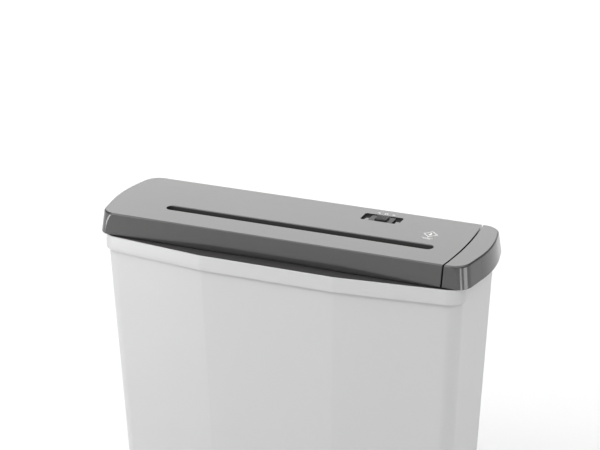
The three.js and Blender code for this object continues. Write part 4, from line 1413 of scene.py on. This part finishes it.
@dataclass
class Electronics:
    """The control board with its parts, and the switch that the sheet's lever presses."""

    fixing_inset: float = 4.0 * MM
    pin_radius: float = 0.45 * MM
    wire_doors: int = 3
    resistors: int = 4
    chip_legs: int = 4
    track_half: Point = (7.6 * MM, 2.6 * MM)
    track_depth: float = 6.0 * MM
    plunger_y: float = 9.0 * MM
    lead_reach: float = 6.25 * MM
    door_half: float = 1.9 * MM
    wire_radius: float = 0.25 * MM
    chip_half: Point = (4.8 * MM, 3.2 * MM)
    leg_half: float = 0.5 * MM
    leg_pitch: float = 2.54 * MM

    def peg(self, radius: float, x: float, y: float, z0: float, z1: float) -> bpy.types.Object:
        """An upright round peg with chamfered ends, or a drill."""
        edge = 0.2 * radius
        profile = [(radius - edge, z0), (radius, z0 + edge), (radius, z1 - edge), (radius - edge, z1)]
        return turned("peg", profile, Axis.Z, Vector((x, y, 0)), 20)

    def finish(
        self, piece: bpy.types.Object, finish: Finish, slot: str, edge: float, nodes: Sequence[str] = ()
    ) -> None:
        """Cleans, rounds and dresses one of the parts, all of which ride on the head."""
        tidy(piece)
        soften(piece, edge, 2, MOULDED_ANGLE)
        dress(piece, finish, "head", nodes)

    def group(self, name: str, parts: Sequence[bpy.types.Object]) -> bpy.types.Object:
        """Makes several separate solids one piece."""
        first = shape(parts[0], "UNION", parts[1:])
        first.name = name
        return first

    def board(self) -> None:
        """Makes the board, its four fixing holes and the melted studs that hold it."""
        low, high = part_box("control_board")
        piece = block("board_laminate", low, high, 1.2 * MM)
        inset = self.fixing_inset
        spots = [(x, y) for x in (low.x + inset, high.x - inset) for y in (low.y + inset, high.y - inset)]
        holes = [self.peg(1.6 * MM, x, y, low.z - 1 * MM, high.z + 1 * MM) for x, y in spots]
        shape(piece, "DIFFERENCE", holes)
        self.finish(piece, Finish.BOARD, "circuit_board", 0.1 * MM, ["control_board"])
        for n, (x, y) in enumerate(spots):
            top = high.z
            profile = [(1.4 * MM, low.z - 0.2 * MM), (1.4 * MM, top + 0.05 * MM)]
            profile.append((2.3 * MM, top + 0.05 * MM))
            profile += [(2.4 * MM, top + 0.3 * MM), (2.0 * MM, top + 0.8 * MM), (1.1 * MM, top + 1.1 * MM)]
            profile.append((0.2 * MM, top + 1.2 * MM))
            stud = turned(f"board_stud_{n + 1}", profile, Axis.Z, Vector((x, y, 0)), 28)
            soften(stud, 0.0, angle=50.0)
            dress(stud, Finish.HOUSING, "head")

    def relay(self) -> None:
        """Makes the relay's case, with a rimmed top and a vent nub, and its five pins."""
        low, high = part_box("power_relay")
        mid = (low + high) / 2
        rim = 1.1 * MM
        piece = block("relay_case", (low.x, low.y, low.z + 0.5 * MM), high, 0.7 * MM)
        panel = block(
            "panel",
            (low.x + rim, low.y + rim, high.z - 0.4 * MM),
            (high.x - rim, high.y - rim, high.z + 1 * MM),
            0.6 * MM,
        )
        shape(piece, "DIFFERENCE", [panel])
        nub = self.peg(0.9 * MM, low.x + 3 * MM, low.y + 3 * MM, high.z - 1 * MM, high.z - 0.1 * MM)
        shape(piece, "UNION", [nub])
        self.finish(piece, Finish.COMPONENT, "component_black", 0.25 * MM, ["power_relay"])
        left, right = low.x + 2.5 * MM, high.x - 2.5 * MM
        spots = [(mid.x, low.y + 2 * MM), (left, low.y + 6 * MM), (right, low.y + 6 * MM)]
        spots += [(left, high.y - 2.5 * MM), (right, high.y - 2.5 * MM)]
        pins = [self.peg(self.pin_radius, x, y, low.z - 0.2 * MM, low.z + 1 * MM) for x, y in spots]
        self.finish(self.group("relay_pins", pins), Finish.STEEL, "steel", 0.0)

    def capacitor(self) -> None:
        """Makes the boxed film capacitor with stand-off feet and two leads."""
        low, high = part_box("filter_capacitor")
        mid = (low + high) / 2
        piece = block("capacitor_case", low, high, 1.6 * MM)
        arch = block(
            "arch",
            (low.x + 2 * MM, low.y - 1 * MM, low.z - 1 * MM),
            (high.x - 2 * MM, high.y + 1 * MM, low.z + 0.6 * MM),
        )
        shape(piece, "DIFFERENCE", [arch])
        self.finish(piece, Finish.CAPACITOR, "component_blue", 0.7 * MM, ["filter_capacitor"])
        z0, z1 = low.z - 0.2 * MM, low.z + 1.2 * MM
        leads = [
            self.peg(self.pin_radius, mid.x + way * self.lead_reach, mid.y, z0, z1) for way in (-1, 1)
        ]
        self.finish(self.group("capacitor_leads", leads), Finish.STEEL, "steel", 0.0)

    def terminals(self) -> None:
        """Makes the terminal block with its wire doors, screw wells and screws."""
        low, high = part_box("terminal_block")
        mid = (low + high) / 2
        pitch = (high.x - low.x) / self.wire_doors
        piece = block("terminal_housing", low, high, 0.5 * MM)
        tools = []
        centres = [low.x + (n + 0.5) * pitch for n in range(self.wire_doors)]
        for x in centres:
            tools.append(
                block(
                    "door",
                    (x - self.door_half, high.y - 4 * MM, low.z + 1.2 * MM),
                    (x + self.door_half, high.y + 1 * MM, low.z + 5 * MM),
                )
            )
            tools.append(self.peg(2.1 * MM, x, mid.y, high.z - 3.4 * MM, high.z + 2 * MM))
        for x in (low.x + pitch, high.x - pitch):
            tools.append(
                block("groove", (x - 0.3 * MM, low.y - 1 * MM, high.z - 0.8 * MM),
                      (x + 0.3 * MM, high.y + 1 * MM, high.z + 1 * MM))
            )
        shape(piece, "DIFFERENCE", tools)
        self.finish(piece, Finish.NYLON, "nylon", 0.2 * MM, ["terminal_block"])
        for n, x in enumerate(centres):
            top = high.z - 1.6 * MM
            screw = self.peg(1.9 * MM, x, mid.y, high.z - 3.3 * MM, top)
            driver = pillar("driver", (x, mid.y), (3 * MM, 0.3 * MM), top - 0.7 * MM, top + 1 * MM)
            shape(screw, "DIFFERENCE", [driver])
            screw.name = f"terminal_screw_{n + 1}"
            self.finish(screw, Finish.STEEL, "steel", 0.1 * MM)

    def selector(self) -> None:
        """Makes the selector's switch: a moulded base, a folded steel frame and its pins."""
        low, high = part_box("slide_switch")
        mid = (low + high) / 2
        sheet = 0.5 * MM
        track = ((mid.x, mid.y), self.track_half, high.z - self.track_depth, high.z + 1 * MM)
        base = block(
            "switch_base",
            (low.x + sheet, low.y + sheet, low.z + 0.6 * MM),
            (high.x - sheet, high.y - sheet, high.z - sheet - 0.05 * MM),
            0.6 * MM,
        )
        shape(base, "DIFFERENCE", [pillar("track", *track)])
        self.finish(base, Finish.COMPONENT, "component_black", 0.2 * MM, ["slide_switch"])
        frame = block("switch_frame", (low.x, low.y, high.z - 5 * MM), high, 0.5 * MM)
        room = block(
            "room",
            (low.x + sheet, low.y + sheet, high.z - 6 * MM),
            (high.x - sheet, high.y - sheet, high.z - sheet),
            0.3 * MM,
        )
        bay = block(
            "bay",
            (low.x + 4 * MM, low.y - 1 * MM, high.z - 6 * MM),
            (high.x - 4 * MM, high.y + 1 * MM, high.z - 2 * MM),
        )
        shape(frame, "DIFFERENCE", [room, bay, pillar("track", *track)])
        self.finish(frame, Finish.STEEL, "steel", 0.08 * MM)
        z0, z1 = low.z - 0.2 * MM, low.z + 1 * MM
        pins = [
            self.peg(self.pin_radius, mid.x + step * 4 * MM, mid.y + row * 3 * MM, z0, z1)
            for step in (-2, -1, 0, 1, 2)
            for row in (-1, 1)
        ]
        self.finish(self.group("switch_pins", pins), Finish.STEEL, "steel", 0.0)

    def microswitch(self) -> None:
        """Makes the switch over the throat, with its plunger, two fixing holes and three tabs."""
        low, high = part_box("start_switch")
        mid = (low + high) / 2
        under = low.z + 0.9 * MM
        piece = block("microswitch_case", (low.x, low.y, under), high, 0.5 * MM)
        tools = []
        for x in (low.x + 3 * MM, high.x - 3 * MM):
            hole = [(1.1 * MM, low.y - 1 * MM), (1.1 * MM, high.y + 1 * MM)]
            tools.append(turned("hole", hole, Axis.Y, Vector((x, 0, mid.z + 1 * MM)), 20))
        line = 0.15 * MM
        for x in (low.x - 0.8 * MM, high.x - 0.15 * MM):
            start = (x, mid.y - line, under - 1 * MM)
            end = (x + 0.95 * MM, mid.y + line, high.z + 1 * MM)
            tools.append(block("parting", start, end))
        shape(piece, "DIFFERENCE", tools)
        self.finish(piece, Finish.COMPONENT, "component_black", 0.2 * MM, ["start_switch"])
        plunger = block(
            "microswitch_plunger",
            (mid.x - 2.1 * MM, self.plunger_y - 1.1 * MM, low.z),
            (mid.x + 0.1 * MM, self.plunger_y + 1.1 * MM, under + 1 * MM),
            0.4 * MM,
        )
        self.finish(plunger, Finish.NYLON, "nylon", 0.3 * MM)
        tabs = []
        for y in (low.y + 2 * MM, mid.y, high.y - 2 * MM):
            tabs.append(
                block("tab", (high.x - 1 * MM, y - 0.25 * MM, mid.z - 2 * MM),
                      (high.x + 3.2 * MM, y + 0.25 * MM, mid.z + 0.6 * MM))
            )
        self.finish(self.group("microswitch_tabs", tabs), Finish.STEEL, "steel", 0.08 * MM)

    def small_parts(self) -> None:
        """Makes the resistors and the control chip on the board."""
        low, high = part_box("control_board")
        for n in range(self.resistors):
            y = low.y + 3 * MM
            x = low.x + 32 * MM + n * 11 * MM
            z = high.z + 1.7 * MM
            profile = [(0.3 * MM, x - 3.2 * MM), (0.9 * MM, x - 3 * MM), (1.25 * MM, x - 2.4 * MM)]
            profile += [(1.2 * MM, x - 1.5 * MM), (1.0 * MM, x - 1.2 * MM), (1.0 * MM, x + 1.2 * MM)]
            profile += [(1.2 * MM, x + 1.5 * MM), (1.25 * MM, x + 2.4 * MM), (0.9 * MM, x + 3 * MM)]
            profile.append((0.3 * MM, x + 3.2 * MM))
            body = turned(f"resistor_{n + 1}", profile, Axis.X, Vector((0, y, z)), 24)
            soften(body, 0.0, angle=50.0)
            dress(body, Finish.RESISTOR, "head")
            r = self.wire_radius
            run = [(r, x - 4.2 * MM), (r, x + 4.2 * MM)]
            wire = turned("wire", run, Axis.X, Vector((0, y, z)), 10)
            foot, bend = high.z - 0.1 * MM, z + 0.2 * MM
            legs = [self.peg(r, x + way * 4.1 * MM, y, foot, bend) for way in (-1, 1)]
            leads = self.group(f"resistor_leads_{n + 1}", [wire, *legs])
            self.finish(leads, Finish.STEEL, "steel", 0.0)
        x, y = high.x - 28 * MM, high.y - 9 * MM
        chip = pillar(
            "control_chip", (x, y), self.chip_half, high.z + 0.6 * MM, high.z + 3.8 * MM, 0.2 * MM
        )
        notch = self.peg(0.9 * MM, x - self.chip_half[0], y, high.z + 3.2 * MM, high.z + 5 * MM)
        shape(chip, "DIFFERENCE", [notch])
        self.finish(chip, Finish.COMPONENT, "component_black", 0.15 * MM)
        legs = []
        for n in range(self.chip_legs):
            at = x + (n - (self.chip_legs - 1) / 2) * self.leg_pitch
            left, right = at - self.leg_half, at + self.leg_half
            top = high.z + 2.3 * MM
            for way in (-1, 1):
                far, near = sorted((y + way * 4.1 * MM, y + way * 3.8 * MM))
                legs.append(block("leg", (left, far, high.z - 0.1 * MM), (right, near, top)))
                inner, outer = sorted((y + way * 3.0 * MM, y + way * 4.0 * MM))
                legs.append(block("arm", (left, inner, high.z + 2.0 * MM), (right, outer, top)))
        self.finish(self.group("chip_legs", legs), Finish.STEEL, "steel", 0.0)

    def build(self) -> None:
        """Makes every electrical part."""
        self.board()
        self.relay()
        self.capacitor()
        self.terminals()
        self.selector()
        self.microswitch()
        self.small_parts()


# ------------------------------------------------------------------ controls


@dataclass
class Controls:
    """The selector knob, the lead's grommet and the printed symbols."""

    ribs: int = 5
    print_height: float = 0.06 * MM
    plate_half: Point = (10.0 * MM, 6.0 * MM)
    grip_half: Point = (5.0 * MM, 4.5 * MM)
    rib_half: Point = (0.45 * MM, 4.0 * MM)
    stem_half: Point = (2.0 * MM, 2.0 * MM)
    sign_at: Point = (106.0 * MM, 13.0 * MM)
    sign_arm: float = 6.0 * MM
    mark_radius: float = 1.5 * MM

    def knob(self) -> None:
        """Makes the three-position selector with finger ribs."""
        low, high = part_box("switch_slider")
        x, y = plan_middle(low, high)
        base = high.z - 2.9 * MM
        piece = pillar("selector_knob", (x, y), self.plate_half, base, base + 1.2 * MM, 1.5 * MM)
        top = pillar("top", (x, y), self.grip_half, base + 0.6 * MM, high.z - 0.5 * MM, 1 * MM)
        stem = pillar("stem", (x, y), self.stem_half, low.z, base + 0.5 * MM)
        ribs = []
        for k in range(self.ribs):
            at = x + (k - (self.ribs - 1) / 2) * 2 * MM
            ribs.append(pillar("rib", (at, y), self.rib_half, high.z - 1 * MM, high.z, 0.3 * MM))
        shape(piece, "UNION", [top, stem, *ribs])
        tidy(piece)
        soften(piece, 0.2 * MM, 2, MOULDED_ANGLE)
        dress(piece, Finish.KNOB, "switch_slider", ["switch_slider"])

    def grommet(self) -> None:
        """Makes the rubber inlet for the lead."""
        low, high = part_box("cable_gland")
        centre = Vector(((low.x + high.x) / 2, 0, (low.z + high.z) / 2))
        wall = high.y - 1.8 * MM
        profile = [
            (3.6 * MM, low.y), (4.8 * MM, low.y), (5.0 * MM, low.y + 0.2 * MM), (5.0 * MM, wall),
            (6.2 * MM, wall), (6.4 * MM, wall + 0.3 * MM), (6.1 * MM, wall + 1.1 * MM),
            (5.4 * MM, high.y - 0.15 * MM), (4.6 * MM, high.y), (3.8 * MM, high.y - 0.1 * MM),
            (3.4 * MM, high.y - 0.6 * MM), (3.4 * MM, low.y + 0.3 * MM),
        ]
        piece = turned("lead_grommet", profile, Axis.Y, centre, 48, wrap=True)
        soften(piece, 0.0, angle=40.0)
        dress(piece, Finish.RUBBER, "head", ["cable_gland"])

    def symbol(self, name: str, outline: Sequence[Point], hole: Sequence[Point] = ()) -> None:
        """Prints one closed shape on the cover.

        Args:
            name: the piece's name.
            outline: its outer points on the cover.
            hole: the points of its inner edge, as many as outside, or nothing.
        """
        z0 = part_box("right_end_cap")[1].z - 0.01 * MM
        z1 = z0 + self.print_height
        if hole:
            rings = [level(outline, z0), level(outline, z1), level(hole, z1), level(hole, z0)]
            piece = loft(name, rings, wrap=True)
        else:
            piece = loft(name, [level(outline, z0), level(outline, z1)])
        dress(piece, Finish.PRINT, "head")

    def symbols(self) -> None:
        """Prints a sheet-feed sign beside the slot and three marks by the selector."""
        x, y = self.sign_at
        arm = self.sign_arm
        ring = [(x + arm * math.cos(t), y + arm * math.sin(t)) for t in self.turns(4)]
        inside = [(x + 0.82 * arm * math.cos(t), y + 0.82 * arm * math.sin(t)) for t in self.turns(4)]
        self.symbol("sign_frame", ring, inside)
        arrow = [(-0.5, 2.6), (-0.5, -0.4), (-1.9, -0.4), (0, -2.8), (1.9, -0.4), (0.5, -0.4), (0.5, 2.6)]
        self.symbol("sign_arrow", [(x + a * MM, y + b * MM) for a, b in arrow])
        for k, width in enumerate((9.0, 6.0)):
            y0 = 4.6 * MM - k * 1.5 * MM
            bar = [(-width / 2, 0), (width / 2, 0), (width / 2, 0.6), (-width / 2, 0.6)]
            self.symbol(f"sign_bar_{k + 1}", [(x + a * MM, y0 + b * MM) for a, b in bar])
        low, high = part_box("switch_slider")
        sx, sy = (low.x + high.x) / 2, high.y + 4.5 * MM
        r = self.mark_radius
        for k, step in enumerate((-5.0, 0.0, 5.0)):
            cx = sx + step * 1.3 * MM
            if k == 1:
                outer = [(cx + r * math.cos(t), sy + r * math.sin(t)) for t in self.turns(24)]
                inner = [(cx + 0.68 * r * math.cos(t), sy + 0.68 * r * math.sin(t)) for t in self.turns(24)]
                self.symbol("mark_off", outer, inner)
            else:
                way = 1 if k == 2 else -1
                head = [(-1.2 * way, -1.1), (1.3 * way, 0), (-1.2 * way, 1.1)]
                name = "mark_forward" if way > 0 else "mark_reverse"
                self.symbol(name, [(cx + a * MM, sy + b * MM) for a, b in head])

    @staticmethod
    def turns(count: int) -> list[float]:
        """Equal angles round a circle."""
        return [math.tau * k / count for k in range(count)]

    def build(self) -> None:
        """Makes every control."""
        self.knob()
        self.grommet()
        self.symbols()


# ------------------------------------------------------------------ pieces kept from the frame


@dataclass
class KeptNodes:
    """CAD nodes whose shape is right: they keep it and get rounded edges and a finish."""

    nodes: dict[str, bpy.types.Object]
    finishes: dict[str, tuple[Finish, float]] = field(
        default_factory=lambda: {
            "left_side_plate": (Finish.STEEL, 0.15),
            "right_side_plate": (Finish.STEEL, 0.15),
            "front_stripper_comb": (Finish.HOUSING, 0.25),
            "rear_stripper_comb": (Finish.HOUSING, 0.25),
            "front_sync_gear": (Finish.STEEL, 0.12),
            "rear_sync_gear": (Finish.STEEL, 0.12),
            "rear_drive_gear": (Finish.STEEL, 0.12),
            "first_compound_gear": (Finish.NYLON, 0.12),
            "second_compound_gear": (Finish.NYLON, 0.12),
            "motor_pinion": (Finish.BRONZE, 0.1),
            "motor_fan": (Finish.NYLON, 0.15),
            "start_lever": (Finish.NYLON, 0.25),
        }
    )

    def build(self) -> None:
        """Dresses each kept node."""
        for name, (finish, width_mm) in self.finishes.items():
            node = self.nodes[name]
            node.data.materials.clear()
            node.data.materials.append(finish.make())
            soften(node, width_mm * MM, 2, 35.0)
            LOG.info("kept node %s", name)


# ------------------------------------------------------------------ studio


@dataclass(frozen=True)
class Panel:
    """A soft light aimed at the head; its bearing is turned from the front towards the right."""

    name: str
    bearing: float
    elevation: float
    distance: float
    width: float
    height: float
    radiance: float

    def hang(self, aim: Vector) -> None:
        """Hangs the light.

        Args:
            aim: the point that it faces.
        """
        turn, rise = math.radians(self.bearing), math.radians(self.elevation)
        away = Vector((math.sin(turn) * math.cos(rise), -math.cos(turn) * math.cos(rise), math.sin(rise)))
        data = bpy.data.lights.new(self.name, "AREA")
        data.shape = "RECTANGLE"
        data.size = self.width
        data.size_y = self.height
        data.energy = self.radiance * math.pi * self.width * self.height
        lamp = bpy.data.objects.new(self.name, data)
        bpy.context.scene.collection.objects.link(lamp)
        lamp.location = aim + away * self.distance
        lamp.rotation_euler = (-away).to_track_quat("-Z", "Y").to_euler()
        lamp.visible_camera = False


@dataclass
class Studio:
    """A pale sweep, soft lights and the camera."""

    azimuth: float = 22.8
    elevation: float = 21.3
    distance: float = 1.380
    lens: float = 107.05
    side_step: float = 2.8 * MM
    up_step: float = 1.3 * MM
    world: float = 0.08
    floor_glow: float = 0.18
    wall_glow: float = 0.50
    sweep_radius: float = 5.4
    sweep_bend: float = 1.3
    sweep_height: float = 1.9
    sweep_steps: int = 12
    aim: Point = (5.0 * MM, -12.0 * MM)
    panels: tuple[Panel, ...] = (
        Panel("key", -42.0, 46.0, 2.2, 2.0, 1.3, 2.3),
        Panel("overhead", 0.0, 86.0, 3.0, 5.0, 5.0, 1.75),
        Panel("backlight", 200.0, 25.0, 2.4, 2.4, 0.90, 2.15),
        Panel("right_strip_1", 58.5, -9.0, 0.83, 0.12, 0.16, 5.0),
        Panel("right_strip_2", 84.3, -9.0, 0.85, 0.30, 0.16, 3.6),
        Panel("left_strip", -53.0, -9.5, 0.84, 0.26, 0.28, 7.0),
    )

    def camera(self, aim: Vector) -> None:
        """Puts the camera.

        Args:
            aim: the feed slot's middle on the head's top.
        """
        turn, rise = math.radians(self.azimuth), math.radians(self.elevation)
        back = Vector((math.sin(turn) * math.cos(rise), -math.cos(turn) * math.cos(rise), math.sin(rise)))
        right = Vector((math.cos(turn), math.sin(turn), 0))
        up = back.cross(right)
        data = bpy.data.cameras.new("camera")
        data.lens = self.lens
        data.sensor_width = 36.0
        data.clip_end = 50.0
        camera = bpy.data.objects.new("camera", data)
        bpy.context.scene.collection.objects.link(camera)
        camera.location = aim + back * self.distance + right * self.side_step + up * self.up_step
        camera.rotation_euler = Matrix((right, up, back)).transposed().to_euler()
        bpy.context.scene.camera = camera

    def sweep(self) -> None:
        """Lays the pale floor, which curves up into a low pale wall all round."""
        flat, bend = self.sweep_radius, self.sweep_bend
        thick, centre = 6 * MM, 1 * MM
        outer = flat + bend + thick
        top = self.sweep_height
        profile = [(centre, -thick), (outer, -thick), (outer, top), (flat + bend, top)]
        for k in range(self.sweep_steps + 1):
            turn = math.radians(90 * k / self.sweep_steps)
            profile.append((flat + bend * math.cos(turn), bend * (1 - math.sin(turn))))
        profile.append((centre, 0.0))
        piece = turned("floor", profile, Axis.Z, Vector((0, 0, 0)), 96)
        soften(piece, 0.0, angle=GROUND_ANGLE)
        graph = Graph("pale_floor")
        shade = graph.noise(0.8, 2.0)
        spot = graph.node("ShaderNodeVectorMath", {"operation": "LENGTH"}, {0: graph.place()})
        far = Signal(graph, spot.outputs["Value"]).above(0.05 * flat, 0.35 * flat)
        near_glow, far_glow = (self.floor_glow,) * 3, (self.wall_glow,) * 3
        material = graph.surface(
            Base_Color=graph.blend(shade, (0.67, 0.67, 0.67), (0.70, 0.70, 0.70)),
            Roughness=0.75,
            Specular_IOR_Level=0.2,
            Emission_Color=graph.blend(far, near_glow, far_glow),
            Emission_Strength=1.0,
        )
        piece.data.materials.append(material)

    def build(self) -> None:
        """Sets up the whole studio."""
        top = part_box("right_end_cap")[1].z
        aim = Vector((*self.aim, top))
        self.camera(aim)
        self.sweep()
        scene = bpy.context.scene
        scene.view_settings.view_transform = "Standard"
        world = bpy.data.worlds.new("studio")
        scene.world = world
        world.use_nodes = True
        background = world.node_tree.nodes["Background"]
        background.inputs["Color"].default_value = (1, 1, 1, 1)
        background.inputs["Strength"].default_value = self.world
        for panel in self.panels:
            panel.hang(aim)


def main() -> None:
    """Builds the shredder round the frame."""
    logging.basicConfig(level=logging.INFO, format="%(name)s: %(message)s")
    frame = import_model()
    Studio().build()
    waste_bin = WasteBin()
    waste_bin.build()
    HeadShell().build()
    LowerHousing(waste_bin).build()
    CutterShaft("front_cutter", "front_cutter", 19).build()
    CutterShaft("rear_cutter", "rear_cutter", 18).build()
    Bearings().build()
    Fasteners().build()
    Motor().build()
    Electronics().build()
    Controls().build()
    KeptNodes(frame["nodes"]).build()


if __name__ == "__main__":
    main()
